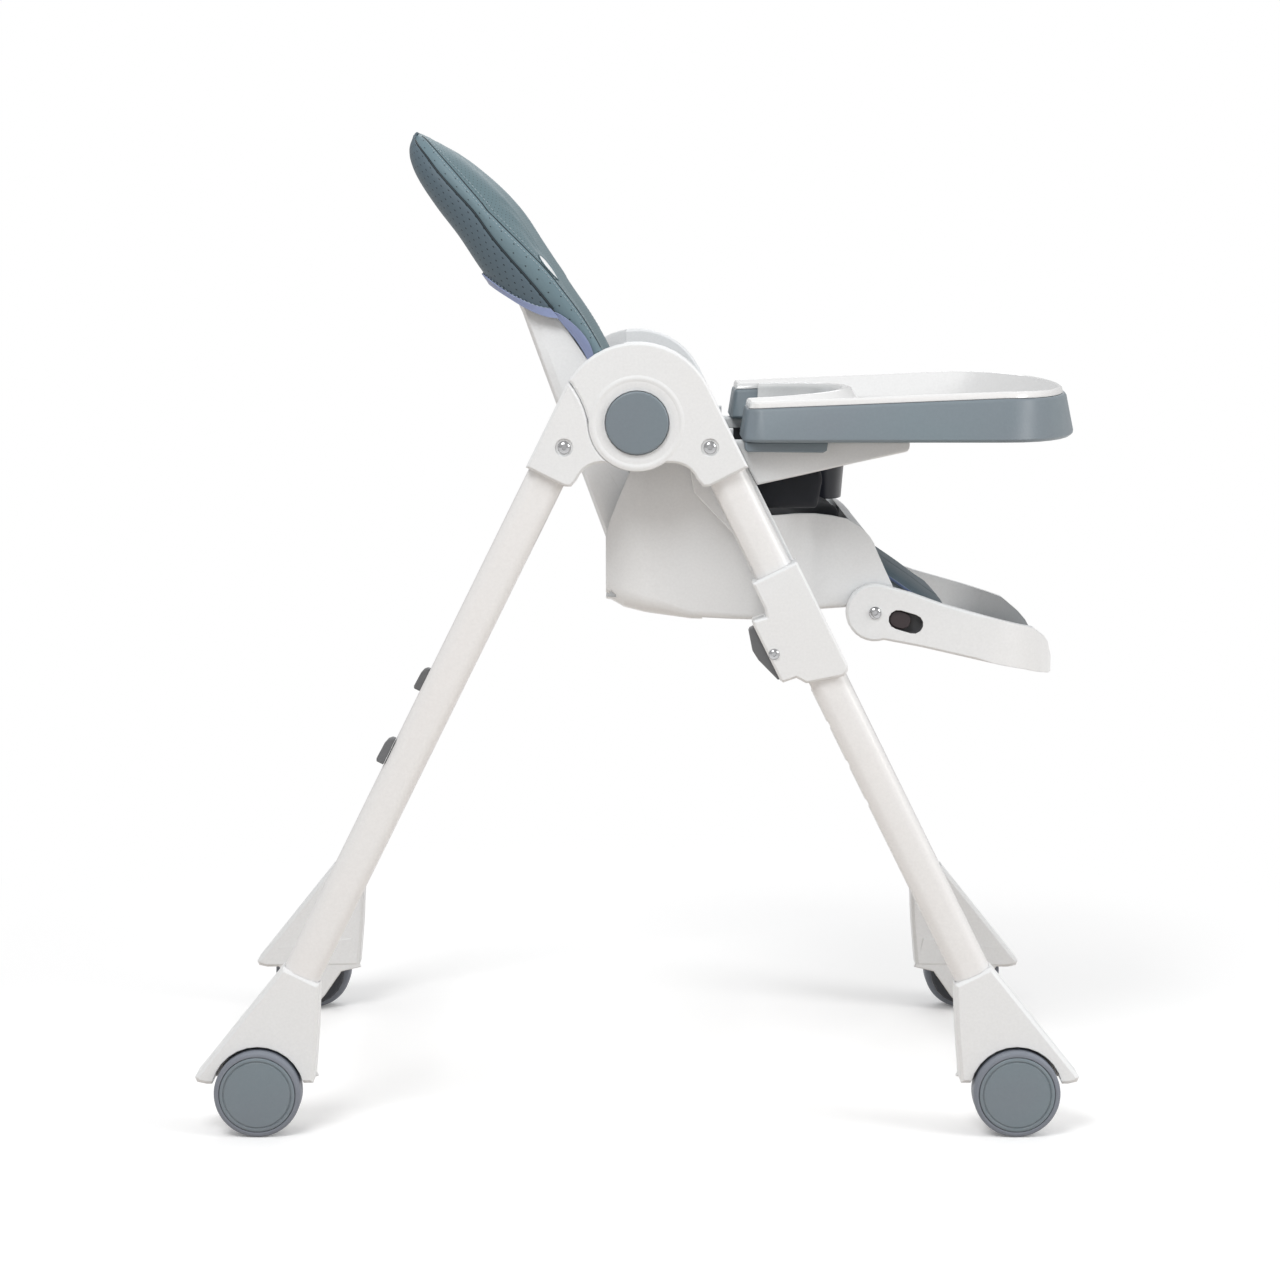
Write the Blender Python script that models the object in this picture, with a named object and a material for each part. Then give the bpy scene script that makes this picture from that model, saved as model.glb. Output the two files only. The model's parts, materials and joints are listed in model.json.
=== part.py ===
"""Folding high chair on four wheels, for a baby or toddler.

Metres, +Z up, +X towards the front of the chair, +Y to the child's left.
The origin is on the floor, in the middle of the chair's length and width.
Side outlines are lists of (x, z) points measured from the fold axis' plane.
"""
import math

import bmesh
import bpy
from mathutils import Matrix, Vector

# ---------------------------------------------------------------- driving dimensions
CLEARANCE = 0.0003          # between pieces that touch
RUNNING_GAP = 0.0005        # between pieces that slide or turn
OVERRUN = 0.05              # how far a cut runs past the piece it cuts

# seat: its half width sets the width of everything else
SEAT_HALF_WIDTH = 0.205
SEAT_FRONT_TAPER = 0.0505   # the front is narrower by this much on each side
SEAT_WALL = 0.0035
SEAT_REAR = -0.029
SEAT_DEPTH = 0.0690         # from the lower edge up to the floor
FLOOR_BELOW_ARM = 0.0975
FLOOR_THICKNESS = 0.0045
WELL_DEPTH = 0.050          # the hinge well behind the floor
WELL_FRONT = 0.056
FLOOR_FRONT = 0.197
SEAT_MOUTH = 0.214          # front face between the side walls, behind the leg pad
PAD_THICKNESS = 0.030
WING_THICKNESS = 0.018
POST_X = 0.182
POST_HALF_WIDTH = 0.032
ARM_BELOW_HUB = 0.0185
ARM_OVERHANG = 0.009        # how far an armrest reaches inside the seat wall
ARM_WIDTH = 0.030
ARM_ROOT = 0.0875
ARM_STEP = 0.011            # how much higher the upright is than the armrest
ARM_TIP = 0.248
UPRIGHT_THICKNESS = 0.0177
SLEEVE_START = 0.176        # measured down the front leg
SLEEVE_HALF_WIDTH = 0.0225
LEVER_HALF_WIDTH = 0.008

# A-frame: the rear legs fold forward about the hubs
HUB_HEIGHT = 0.656
HUB_RADIUS = 0.072
HUB_GAP = 0.005             # between the seat's uprights and the hubs
HUB_WIDTH = 0.036
HUB_PLATE = 0.012           # thickness of the front half's outer plate
HUB_WALL = 0.006            # round the leg's socket
BOSS_RADIUS = 0.043
DISC_RADIUS = 0.042         # lock disc of the rear half, inside the front half
DISC_ROOM = 0.046           # radius of the room for it there, open below the boss
DISC_KEY_REACH = 0.006      # of the lug that keys it to the rear half
DISC_KEY_WIDTH = 0.012
LOCK_NOTCH = 0.008          # width and depth of the notches in its rim
COLLAR_END = 0.080          # where a leg leaves its hub, measured down the leg
COLLAR_HALF_WIDTH = 0.0207
BUTTON_RADIUS = 0.0285
DISH_RADIUS = 0.0363
WELL_WALL = 0.0015          # left between the button and the rear half's disc
PIVOT_RADIUS = 0.006

LEG_OFFSET = 0.0513         # leg centreline to the fold axis
TUBE_WIDTH = 0.035
TUBE_DEPTH = 0.022
TUBE_WALL = 0.0015
TUBE_START = 0.042
TUBE_IN_FOOT = 0.0265
CROSSBAR_RADIUS = 0.011
CROSSBAR_ABOVE_FOOT = 0.0465
INDEX_PITCH = 0.040
INDEX_HOLES = 7
INDEX_RADIUS = 0.0035
FIRST_INDEX = 0.165
PEG_AT = 0.356

# feet and wheels
FOOT_HEIGHT = 0.1154        # from the axle to its top, along the leg
FOOT_INSIDE = 0.0205        # leg centreline to the foot's inner face
FOOT_WIDTH = 0.0375
FOOT_WALL = 0.0070
FOOT_REACH = 0.058          # from the wheel's centre to the tip
WHEEL_RADIUS = 0.040
WHEEL_WIDTH = 0.0267
WHEEL_X = 0.349
AXLE_RADIUS = 0.004
AXLE_BEHIND_LEG = 0.012
ARCH_GAP = 0.003            # between a tyre and its arch
RIM_DEPTH = 0.0052          # of tread left round the cap
CARRIER_RADIUS = 0.034
CARRIER_WIDTH = 0.0108

# backrest, in its own (up, forward) frame from the recline axis
RECLINE_X = 0.012
RECLINE_ABOVE_WELL = 0.040
BACK_ANGLE = math.radians(20.4)
BACK_REAR = -0.0336
BACK_WALL = 0.0035
BACK_INSET = 0.033          # from the seat's half width to the backrest's
BACK_TOP = 0.405
TRUNNION_RADIUS = 0.006
HANDLE_HALF_WIDTH = 0.045
HANDLE_LOW = 0.150
HANDLE_HEIGHT = 0.042
HANDLE_TRAVEL = 0.008

# footrest
FOOTREST_X = 0.222
FOOTREST_RADIUS = 0.027
FOOTREST_ARM = 0.012
FOOTREST_SIDE_GAP = 0.0015
FOOTREST_LENGTH = 0.181     # from the pivot to the front
FOOTREST_BOW = 0.085        # how far the front bows out past the straight arms
FOOTREST_WALL = 0.006
FOOT_PLATE_SLOPE = 0.23
PIN_LENGTH = 0.005
SLOT_AT = 0.0300
SLOT_LENGTH = 0.033
SLOT_WIDTH = 0.018
SLOT_SKIN = 0.0025          # left between the slot and the arm's inner face
SLOT_ANGLE = math.radians(16.5)
LATCH_TRAVEL = 0.011

# tray
TRAY_REAR = 0.095
TRAY_STRAIGHT = 0.236       # length of its straight sides
TRAY_BOW = 0.087            # how far the front bows out
TRAY_OVERHANG = 0.034       # past each armrest
TRAY_DEPTH = 0.0293         # at the rear
TRAY_RISE = 0.0097          # how much higher the front rim is
TRAY_DRAFT = 0.009          # the wall leans in by this much at the rim
BELLY_DEPTH = 0.085
WING_WIDTH = 0.110          # from the belly curve to the tray's side
RIM_WIDTH = 0.0075
LIP_HEIGHT = 0.0065
DISH_HEIGHT = 0.0180        # the dish's floor above the tray's underside
INSERT_WALL = 0.0030
TRAY_FLOOR_THICKNESS = 0.0032
GUIDE_WIDTH = 0.0185
RELEASE_HALF_WIDTH = 0.042

# ---------------------------------------------------------------- derived places
UPRIGHT_INNER = SEAT_HALF_WIDTH + CLEARANCE
UPRIGHT_OUTER = UPRIGHT_INNER + UPRIGHT_THICKNESS
HUB_INNER = UPRIGHT_OUTER + HUB_GAP
HUB_OUTER = HUB_INNER + HUB_WIDTH
LEG_Y = HUB_INNER + HUB_WALL + TUBE_DEPTH / 2
SLEEVE_OUTER = LEG_Y + TUBE_DEPTH / 2 + HUB_WALL
FOOT_INNER = LEG_Y - FOOT_INSIDE
FOOT_OUTER = FOOT_INNER + FOOT_WIDTH
CARRIER_FACE = FOOT_INNER + FOOT_WALL + CLEARANCE
WHEEL_INNER = CARRIER_FACE + CARRIER_WIDTH
WHEEL_OUTER = WHEEL_INNER + WHEEL_WIDTH
CAP_RADIUS = WHEEL_RADIUS - RIM_DEPTH
ARCH_RADIUS = WHEEL_RADIUS + ARCH_GAP
ARM_INNER = SEAT_HALF_WIDTH - ARM_OVERHANG
ARM_OUTER = ARM_INNER + ARM_WIDTH
SEAT_FRONT_HALF_WIDTH = SEAT_HALF_WIDTH - SEAT_FRONT_TAPER
FOOTREST_INNER = SEAT_FRONT_HALF_WIDTH + FOOTREST_SIDE_GAP
FOOTREST_OUTER = FOOTREST_INNER + FOOTREST_ARM
FOOTREST_FRONT = FOOTREST_X + FOOTREST_LENGTH
FOOTREST_BEND = FOOTREST_FRONT - FOOTREST_BOW
BACK_HALF_WIDTH = SEAT_HALF_WIDTH - BACK_INSET
TRAY_HALF_WIDTH = ARM_OUTER + TRAY_OVERHANG
TRAY_SHOULDER = TRAY_REAR + TRAY_STRAIGHT
TRAY_FRONT = TRAY_SHOULDER + TRAY_BOW
BELLY_HALF_WIDTH = TRAY_HALF_WIDTH - WING_WIDTH

ARM_TOP = HUB_HEIGHT - ARM_BELOW_HUB
SEAT_FLOOR = ARM_TOP - FLOOR_BELOW_ARM
SEAT_BOTTOM = SEAT_FLOOR - SEAT_DEPTH
WELL_FLOOR = SEAT_FLOOR - WELL_DEPTH
RECLINE_Z = WELL_FLOOR + RECLINE_ABOVE_WELL
FOOTREST_Z = SEAT_BOTTOM + 0.003
TRAY_BOTTOM = ARM_TOP + RUNNING_GAP
TRAY_RIM_REAR = TRAY_BOTTOM + TRAY_DEPTH
TRAY_FLOOR = TRAY_BOTTOM + TRAY_FLOOR_THICKNESS
DISH_FLOOR = TRAY_BOTTOM + DISH_HEIGHT

AXLE_REACH = math.hypot(WHEEL_X, HUB_HEIGHT - WHEEL_RADIUS)
AXLE_BEARING = math.atan2(HUB_HEIGHT - WHEEL_RADIUS, WHEEL_X)
LEG_ANGLE = math.acos((LEG_OFFSET - AXLE_BEHIND_LEG) / AXLE_REACH) - AXLE_BEARING
FOOT_TIP = WHEEL_X + FOOT_REACH
# distances down a leg from the fold axis
FOOT_START = math.sqrt(AXLE_REACH ** 2 - (LEG_OFFSET - AXLE_BEHIND_LEG) ** 2) - FOOT_HEIGHT
TUBE_END = FOOT_START + TUBE_IN_FOOT
CROSSBAR_AT = FOOT_START - CROSSBAR_ABOVE_FOOT
LOCK_ANGLES = (-18, 32)      # of the notches, open and folded
ORIGIN_SHIFT = (FOOT_TIP - TRAY_FRONT) / 2
SIDES = {"l": 1, "r": -1}
FRONT = 1
REAR = -1

WHITE = (0.80, 0.785, 0.77)
SLATE = (0.19, 0.235, 0.265)
TREAD = (0.215, 0.235, 0.28)
GRAPHITE = (0.115, 0.122, 0.13)
STEEL = (0.62, 0.62, 0.63)
COVER = (0.155, 0.245, 0.27)
LINING = (0.02, 0.022, 0.028)

EMPTIES = {}


# ---------------------------------------------------------------- outlines
def arc(cx, cz, radius, start, end, count):
    """Points on a circle from start to end degrees."""
    points = []
    for i in range(count + 1):
        angle = math.radians(start + (end - start) * i / count)
        points.append((cx + radius * math.cos(angle), cz + radius * math.sin(angle)))
    return points


def bend(p0, p1, p2, count):
    """Quadratic curve from p0 to p2, pulled towards p1."""
    points = []
    for i in range(count + 1):
        t = i / count
        a, b, c = (1 - t) ** 2, 2 * t * (1 - t), t * t
        points.append((a * p0[0] + b * p1[0] + c * p2[0], a * p0[1] + b * p1[1] + c * p2[1]))
    return points


def stadium(length, width, count=6):
    """Closed outline with round ends, along the first axis."""
    radius = width / 2
    reach = length / 2 - radius
    return arc(reach, 0, radius, -90, 90, count) + arc(-reach, 0, radius, 90, 270, count)


def blend_at(table, x):
    """Smooth value at x from rows of (x, value)."""
    if x <= table[0][0]:
        return table[0][1]
    for (x0, v0), (x1, v1) in zip(table, table[1:]):
        if x <= x1:
            t = (x - x0) / (x1 - x0)
            t = t * t * (3 - 2 * t)
            return v0 + (v1 - v0) * t
    return table[-1][1]


def arm_root(gap):
    """Slanted joint between an upright and its armrest, from the top down."""
    return [(ARM_ROOT + gap, ARM_TOP), (ARM_ROOT + 0.0055 + gap, ARM_TOP - 0.0095),
            (ARM_ROOT + 0.0215 + gap, ARM_TOP - 0.0400)]


def leg_point(t, n, end):
    """Point t down a leg and n outward of its centreline; end is FRONT or REAR."""
    sin_a, cos_a = math.sin(LEG_ANGLE), math.cos(LEG_ANGLE)
    x = (LEG_OFFSET + n) * cos_a + t * sin_a
    z = HUB_HEIGHT + (LEG_OFFSET + n) * sin_a - t * cos_a
    return end * x, z


def back_point(u, n):
    """Point u up the backrest and n forward of the recline axis."""
    sin_b, cos_b = math.sin(BACK_ANGLE), math.cos(BACK_ANGLE)
    return RECLINE_X - u * sin_b + n * cos_b, RECLINE_Z + u * cos_b + n * sin_b


# ---------------------------------------------------------------- solids
def loft(rings):
    """Closed solid through rings of equally many points, capped at both ends."""
    bm = bmesh.new()
    rows = [[bm.verts.new(p) for p in ring] for ring in rings]
    count = len(rows[0])
    for low, high in zip(rows, rows[1:]):
        for i in range(count):
            j = (i + 1) % count
            bm.faces.new((low[i], low[j], high[j], high[i]))
    bm.faces.new(list(reversed(rows[0])))
    bm.faces.new(rows[-1])
    bmesh.ops.recalc_face_normals(bm, faces=bm.faces)
    return bm


def inset(outline, distance):
    """The closed outline moved inwards by distance at every point."""
    count = len(outline)
    area = sum(outline[i - 1][0] * outline[i][1] - outline[i][0] * outline[i - 1][1]
               for i in range(count))
    turn = 1 if area > 0 else -1
    moved = []
    for i in range(count):
        before, here, after = (Vector(outline[k % count]) for k in (i - 1, i, i + 1))
        first = (here - before).normalized()
        second = (after - here).normalized()
        normal = Vector((-(first.y + second.y), first.x + second.x)).normalized()
        spread = max(0.4, normal.dot(Vector((-first.y, first.x))))
        moved.append(tuple(here + normal * (turn * distance / spread)))
    return moved


def plate(outline, y0, y1, edge=0.0):
    """Side outline made solid from y0 to y1, with its edges eased."""
    low, high = min(y0, y1), max(y0, y1)
    if edge <= 0:
        return loft([[(x, low, z) for x, z in outline], [(x, high, z) for x, z in outline]])
    small = inset(outline, edge)
    rings = [[(x, low, z) for x, z in small], [(x, low + edge, z) for x, z in outline],
             [(x, high - edge, z) for x, z in outline], [(x, high, z) for x, z in small]]
    return loft(rings)


def turned(profile, cx, cz, side, steps=32):
    """Solid of revolution about the line y at (cx, cz); profile is (|y|, radius)."""
    bm = bmesh.new()
    verts = [bm.verts.new((r, side * y, 0)) for y, r in profile]
    edges = [bm.edges.new(pair) for pair in zip(verts, verts[1:])]
    if profile[0][1] > 0:
        edges.append(bm.edges.new((verts[-1], verts[0])))
    bmesh.ops.spin(bm, geom=verts + edges, cent=(0, 0, 0), axis=(0, 1, 0),
                   angle=2 * math.pi, steps=steps, use_merge=True)
    bmesh.ops.remove_doubles(bm, verts=bm.verts, dist=1e-6)
    bmesh.ops.translate(bm, verts=bm.verts, vec=(cx, 0, cz))
    bmesh.ops.recalc_face_normals(bm, faces=bm.faces)
    return bm


def rod(cx, cz, radius, y0, y1, steps=16):
    """Round bar along y."""
    return plate(arc(cx, cz, radius, 0, 360 * (steps - 1) / steps, steps - 1), y0, y1)


def block(x0, x1, y0, y1, z0, z1):
    """Square-edged block, for cutting."""
    return plate([(x0, z0), (x1, z0), (x1, z1), (x0, z1)], y0, y1)


def leg_prism(section, t0, t1, end, side, hole=None):
    """Bar along a leg; section is (n, y offset); hole leaves a bore through it."""
    rings = []
    for t in (t0, t1):
        ring = []
        for n, y in section:
            x, z = leg_point(t, n, end)
            ring.append((x, side * (LEG_Y + y), z))
        rings.append(ring)
    if hole is None:
        return loft(rings)
    bm = bmesh.new()
    loops = []
    for outline in (section, hole):
        for t in (t0, t1):
            ring = []
            for n, y in outline:
                x, z = leg_point(t, n, end)
                ring.append(bm.verts.new((x, side * (LEG_Y + y), z)))
            loops.append(ring)
    count = len(section)
    for first, second in ((0, 1), (1, 3), (3, 2), (2, 0)):
        for i in range(count):
            j = (i + 1) % count
            bm.faces.new((loops[first][i], loops[first][j], loops[second][j], loops[second][i]))
    bmesh.ops.recalc_face_normals(bm, faces=bm.faces)
    return bm


# ---------------------------------------------------------------- objects
def material(name, colour, roughness, metallic=0.0):
    """Principled material, made once for each name."""
    found = bpy.data.materials.get(name)
    if found:
        return found
    made = bpy.data.materials.new(name)
    made.use_nodes = True
    shader = made.node_tree.nodes["Principled BSDF"]
    shader.inputs["Base Color"].default_value = (*colour, 1.0)
    shader.inputs["Roughness"].default_value = roughness
    shader.inputs["Metallic"].default_value = metallic
    return made


def white():
    return material("white_plastic", WHITE, 0.42)


def slate():
    return material("slate_plastic", SLATE, 0.45)


def graphite():
    return material("graphite_plastic", GRAPHITE, 0.5)


def steel():
    return material("steel", STEEL, 0.3, 1.0)


def leatherette():
    return material("leatherette", COVER, 0.6)


def lining():
    return material("lining", LINING, 0.85)


def body(name, pivot, parent="chair"):
    """Empty on a moving body's joint axis."""
    empty = bpy.data.objects.new(f"{name}_axis", None)
    bpy.context.collection.objects.link(empty)
    empty.parent = EMPTIES[parent][0]
    empty.location = Vector(pivot) - EMPTIES[parent][1]
    EMPTIES[name] = (empty, Vector(pivot))


def add(name, bm, finish, carrier, smooth=35):
    """Object from a mesh in the chair's frame, carried by a body's empty."""
    empty, pivot = EMPTIES[carrier]
    bmesh.ops.translate(bm, verts=bm.verts, vec=-pivot)
    mesh = bpy.data.meshes.new(name)
    bm.to_mesh(mesh)
    bm.free()
    obj = bpy.data.objects.new(name, mesh)
    bpy.context.collection.objects.link(obj)
    obj.parent = empty
    mesh.materials.append(finish)
    mesh.shade_smooth()
    mesh.set_sharp_from_angle(angle=math.radians(smooth))
    return obj


def shape(obj, bm, carrier, operation="DIFFERENCE"):
    """Cut obj with a mesh, or join or keep what they share; the tool piece stays hidden."""
    tool = add(f"{obj.name}_tool_{len(obj.modifiers)}", bm, obj.data.materials[0], carrier)
    tool.hide_render = True
    tool.display_type = "WIRE"
    modifier = obj.modifiers.new(f"{operation.lower()}_{len(obj.modifiers)}", "BOOLEAN")
    modifier.operation = operation
    modifier.solver = "EXACT"
    modifier.object = tool


# ---------------------------------------------------------------- frame
def tube_section(grow=0.0):
    return stadium(TUBE_WIDTH + 2 * grow, TUBE_DEPTH + 2 * grow)


def leg_tube(name, end, side, carrier):
    """Flat-oval tube; the front ones have index holes along their rear edge."""
    tube = leg_prism(tube_section(), TUBE_START, TUBE_END, end, side, tube_section(-TUBE_WALL))
    obj = add(name, tube, white(), carrier)
    if end == FRONT:
        holes = bmesh.new()
        for i in range(INDEX_HOLES):
            x0, z0 = leg_point(FIRST_INDEX + i * INDEX_PITCH, -TUBE_WIDTH / 2 - 0.004, end)
            drill = bmesh.ops.create_cone(holes, cap_ends=True, segments=8, radius1=INDEX_RADIUS,
                                          radius2=INDEX_RADIUS, depth=0.020)["verts"]
            tilt = Matrix.Rotation(math.pi / 2 - LEG_ANGLE, 4, "Y")
            bmesh.ops.transform(holes, matrix=Matrix.Translation((x0, side * LEG_Y, z0)) @ tilt,
                                verts=drill)
        shape(obj, holes, carrier)
    return obj


def parting_line(grow):
    """Curve on which the two hub halves meet, from the boss up to the rim."""
    radius = BOSS_RADIUS + grow
    low = arc(0, HUB_HEIGHT, radius, 235, 187, 6)
    rim = math.radians(148.4 + grow * 600)
    top = (HUB_RADIUS * math.cos(rim), HUB_HEIGHT + HUB_RADIUS * math.sin(rim))
    pull = (-0.046 - grow, HUB_HEIGHT + 0.018 + grow)
    return low + bend(low[-1], pull, top, 5)[1:]


def collar(end, boss_angle):
    """Outline round the end of a hub half, from its straight edge to the boss."""
    corner = [leg_point(COLLAR_END, COLLAR_HALF_WIDTH, end),
              leg_point(COLLAR_END, -0.0185, end),
              leg_point(COLLAR_END - 0.0025, -0.0235, end)]
    start = leg_point(COLLAR_END - 0.010, -0.0255, end)
    angle = math.radians(boss_angle)
    radius = BOSS_RADIUS + 0.0008
    finish = (radius * math.cos(angle), HUB_HEIGHT + radius * math.sin(angle))
    pull = (end * 0.047, HUB_HEIGHT - 0.034)
    return corner + bend(start, pull, finish, 6)


def hub_tools(obj, end, side, carrier):
    """Socket for the leg and a recess round the screw, cut in a hub half."""
    socket = leg_prism(tube_section(CLEARANCE), TUBE_START - CLEARANCE, COLLAR_END + 0.02, end, side)
    shape(obj, socket, carrier)
    screw_x, screw_z = end * 0.0655, HUB_HEIGHT - 0.022
    recess = rod(screw_x, screw_z, 0.008, side * (HUB_OUTER - 0.0014), side * (HUB_OUTER + OVERRUN))
    shape(obj, recess, carrier)


def front_hub(name, side):
    """Front half: an outer plate over the rear half's disc, and the front leg's collar."""
    tangent = math.degrees(LEG_ANGLE)
    outline = arc(0, HUB_HEIGHT, HUB_RADIUS, 148, tangent, 14)
    outline += collar(FRONT, -55) + arc(0, HUB_HEIGHT, BOSS_RADIUS, -60, -120, 7)
    outline += parting_line(0)[:-1]
    obj = add(name, plate(outline, side * HUB_INNER, side * HUB_OUTER, 0.002), white(), "chair")
    inner = side * (HUB_INNER - OVERRUN)
    floor = side * (HUB_OUTER - HUB_PLATE)
    shape(obj, rod(0, HUB_HEIGHT, DISC_ROOM, inner, floor, 32), "chair")
    shape(obj, block(-2 * HUB_RADIUS, -2 * PIVOT_RADIUS, inner, floor, HUB_HEIGHT - 2 * HUB_RADIUS,
                     HUB_HEIGHT + 2 * HUB_RADIUS), "chair")
    well = HUB_OUTER - HUB_PLATE + WELL_WALL
    dish = HUB_OUTER - 0.0025
    hole = PIVOT_RADIUS + CLEARANCE
    within, beyond = HUB_INNER - OVERRUN, HUB_OUTER + OVERRUN
    bowl = [(within, 0), (within, hole), (well, hole), (well, BUTTON_RADIUS + RUNNING_GAP),
            (dish, BUTTON_RADIUS + RUNNING_GAP), (dish, BUTTON_RADIUS + 0.003),
            (HUB_OUTER, DISH_RADIUS), (beyond, DISH_RADIUS), (beyond, 0)]
    shape(obj, turned(bowl, 0, HUB_HEIGHT, side, 28), "chair")
    hub_tools(obj, FRONT, side, "chair")


def disc_key(gap, side):
    """Lug on the lock disc's rear edge, and the slot that it fits when gap is a clearance."""
    half = DISC_KEY_WIDTH / 2 + gap
    reach = DISC_RADIUS + DISC_KEY_REACH + gap
    ends = (HUB_INNER + (0.0015 if gap == 0 else -OVERRUN), HUB_OUTER - HUB_PLATE - RUNNING_GAP + gap)
    low, high = sorted(side * y for y in ends)
    return block(-reach, -DISC_RADIUS + 0.002, low, high, HUB_HEIGHT - half, HUB_HEIGHT + half)


def rear_hub(name, side):
    """Rear half: the rear leg's collar, and a cheek that carries the lock disc."""
    tangent = 180 - math.degrees(LEG_ANGLE)
    edge = parting_line(RUNNING_GAP)
    scallop = collar(REAR, 235)
    rim = arc(0, HUB_HEIGHT, HUB_RADIUS, 149, tangent, 2)
    floor = HUB_OUTER - HUB_PLATE - RUNNING_GAP
    outline = edge[:-1] + rim + scallop[:-1]
    obj = add(name, plate(outline, side * (floor - 0.004), side * HUB_OUTER, 0.002), white(),
              "rear_frame")
    cheek = arc(0, HUB_HEIGHT, BOSS_RADIUS - 0.004, 220, 128, 8) + rim + scallop
    shape(obj, plate(cheek, side * HUB_INNER, side * floor, 0.0015), "rear_frame", "UNION")
    seat = rod(0, HUB_HEIGHT, DISC_RADIUS + CLEARANCE, side * (HUB_INNER - OVERRUN),
               side * (floor + CLEARANCE), 44)
    shape(obj, seat, "rear_frame")
    shape(obj, disc_key(CLEARANCE, side), "rear_frame")
    hub_tools(obj, REAR, side, "rear_frame")


def fold_disc(name, side):
    """Notched lock disc keyed to the rear half: it turns with it inside the front half."""
    floor = HUB_OUTER - HUB_PLATE - RUNNING_GAP
    disc = arc(0, HUB_HEIGHT, DISC_RADIUS, 0, 360, 44)[:-1]
    obj = add(name, plate(disc, side * HUB_INNER, side * floor, 0.001), graphite(), "rear_frame")
    shape(obj, disc_key(0.0, side), "rear_frame", "UNION")
    bore = rod(0, HUB_HEIGHT, PIVOT_RADIUS + CLEARANCE, side * (HUB_INNER - OVERRUN),
               side * (HUB_OUTER + OVERRUN))
    shape(obj, bore, "rear_frame")
    half = LOCK_NOTCH / 2
    notch = [(DISC_RADIUS - LOCK_NOTCH, -half), (DISC_RADIUS + LOCK_NOTCH, -half),
             (DISC_RADIUS + LOCK_NOTCH, half), (DISC_RADIUS - LOCK_NOTCH, half)]
    for degrees in LOCK_ANGLES:
        outline = turned_outline(notch, (0, HUB_HEIGHT), math.radians(degrees))
        shape(obj, plate(outline, side * (HUB_INNER - OVERRUN), side * (floor + OVERRUN)),
              "rear_frame")


def hub_pivot(name, side):
    """Headed steel pin that the two hub halves turn on."""
    well = HUB_OUTER - HUB_PLATE + WELL_WALL + CLEARANCE
    inner = HUB_INNER - CLEARANCE
    profile = [(inner - 0.003, 0), (inner - 0.003, 0.010), (inner, 0.011), (inner, PIVOT_RADIUS),
               (well, PIVOT_RADIUS), (well, 0.010), (well + 0.0025, 0.009), (well + 0.0025, 0)]
    add(name, turned(profile, 0, HUB_HEIGHT, side, 14), steel(), "chair")


def hub_button(name, side, carrier):
    """Cup-shaped fold button, slightly crowned."""
    face = HUB_OUTER + 0.0015
    skirt = face - 0.0072
    profile = [(face - 0.0030, 0), (face - 0.0030, BUTTON_RADIUS - 0.003),
               (skirt, BUTTON_RADIUS - 0.003), (skirt, BUTTON_RADIUS),
               (face - 0.0012, BUTTON_RADIUS), (face, BUTTON_RADIUS - 0.0012), (face + 0.0007, 0)]
    add(name, turned(profile, 0, HUB_HEIGHT, side, 28), slate(), carrier)


def foot(name, end, side, carrier):
    """Flared hood at a leg's end, with a wheel arch and an inner tongue for the axle."""
    axle_x, axle_z = WHEEL_X, WHEEL_RADIUS
    top_in = leg_point(FOOT_START, -0.0188, FRONT)
    top_out = leg_point(FOOT_START, 0.0185, FRONT)
    tip = (FOOT_TIP, axle_z + 0.0145)
    tip_low = (axle_x + 0.0475, axle_z + 0.0080)
    toe = (axle_x - 0.0510, axle_z + 0.0090)
    belly = ((toe[0] + top_in[0]) / 2 - 0.001, (toe[1] + top_in[1]) / 2)
    outline = [top_out, tip, (tip[0] - 0.002, tip[1] - 0.0045), tip_low, toe, belly, top_in]
    rise = top_out[1] - toe[1]
    rings = []
    for lean, face in ((0.003, -0.002), (0, 0), (0, 1), (0.003, 1.002)):
        ring = []
        for x, z in inset(outline, lean) if lean else outline:
            taper = min(1, max(0, (z - toe[1]) / rise))
            low = FOOT_INNER + 0.0065 * taper
            high = FOOT_OUTER - 0.0035 * taper
            y = low + (high - low) * min(1, max(0, face))
            if lean == 0:
                y += 0.003 if face == 0 else -0.003
            ring.append((end * x, side * y, z))
        rings.append(ring)
    obj = add(name, loft(rings), white(), carrier)
    wall = FOOT_INNER + FOOT_WALL
    tongue = [(axle_x - 0.0500, axle_z + 0.014), (axle_x - 0.0530, axle_z + 0.008),
              (axle_x - 0.032, axle_z + 0.003), (axle_x - 0.014, axle_z - 0.023)]
    tongue += bend((axle_x - 0.010, axle_z - 0.0275), (axle_x, axle_z - 0.032),
                   (axle_x + 0.010, axle_z - 0.0275), 4)
    tongue += [(axle_x + 0.036, axle_z + 0.010), (axle_x + 0.036, axle_z + 0.030),
               (axle_x - 0.044, axle_z + 0.040)]
    flap = [(end * x, z) for x, z in tongue]
    shape(obj, plate(flap, side * (FOOT_INNER + 0.001), side * wall, 0.001), carrier, "UNION")
    arch = rod(end * axle_x, axle_z, ARCH_RADIUS, side * wall, side * (FOOT_OUTER + OVERRUN), 28)
    shape(obj, arch, carrier)
    socket = leg_prism(tube_section(CLEARANCE), FOOT_START - 0.03, TUBE_END + CLEARANCE, end, side)
    shape(obj, socket, carrier)


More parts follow.
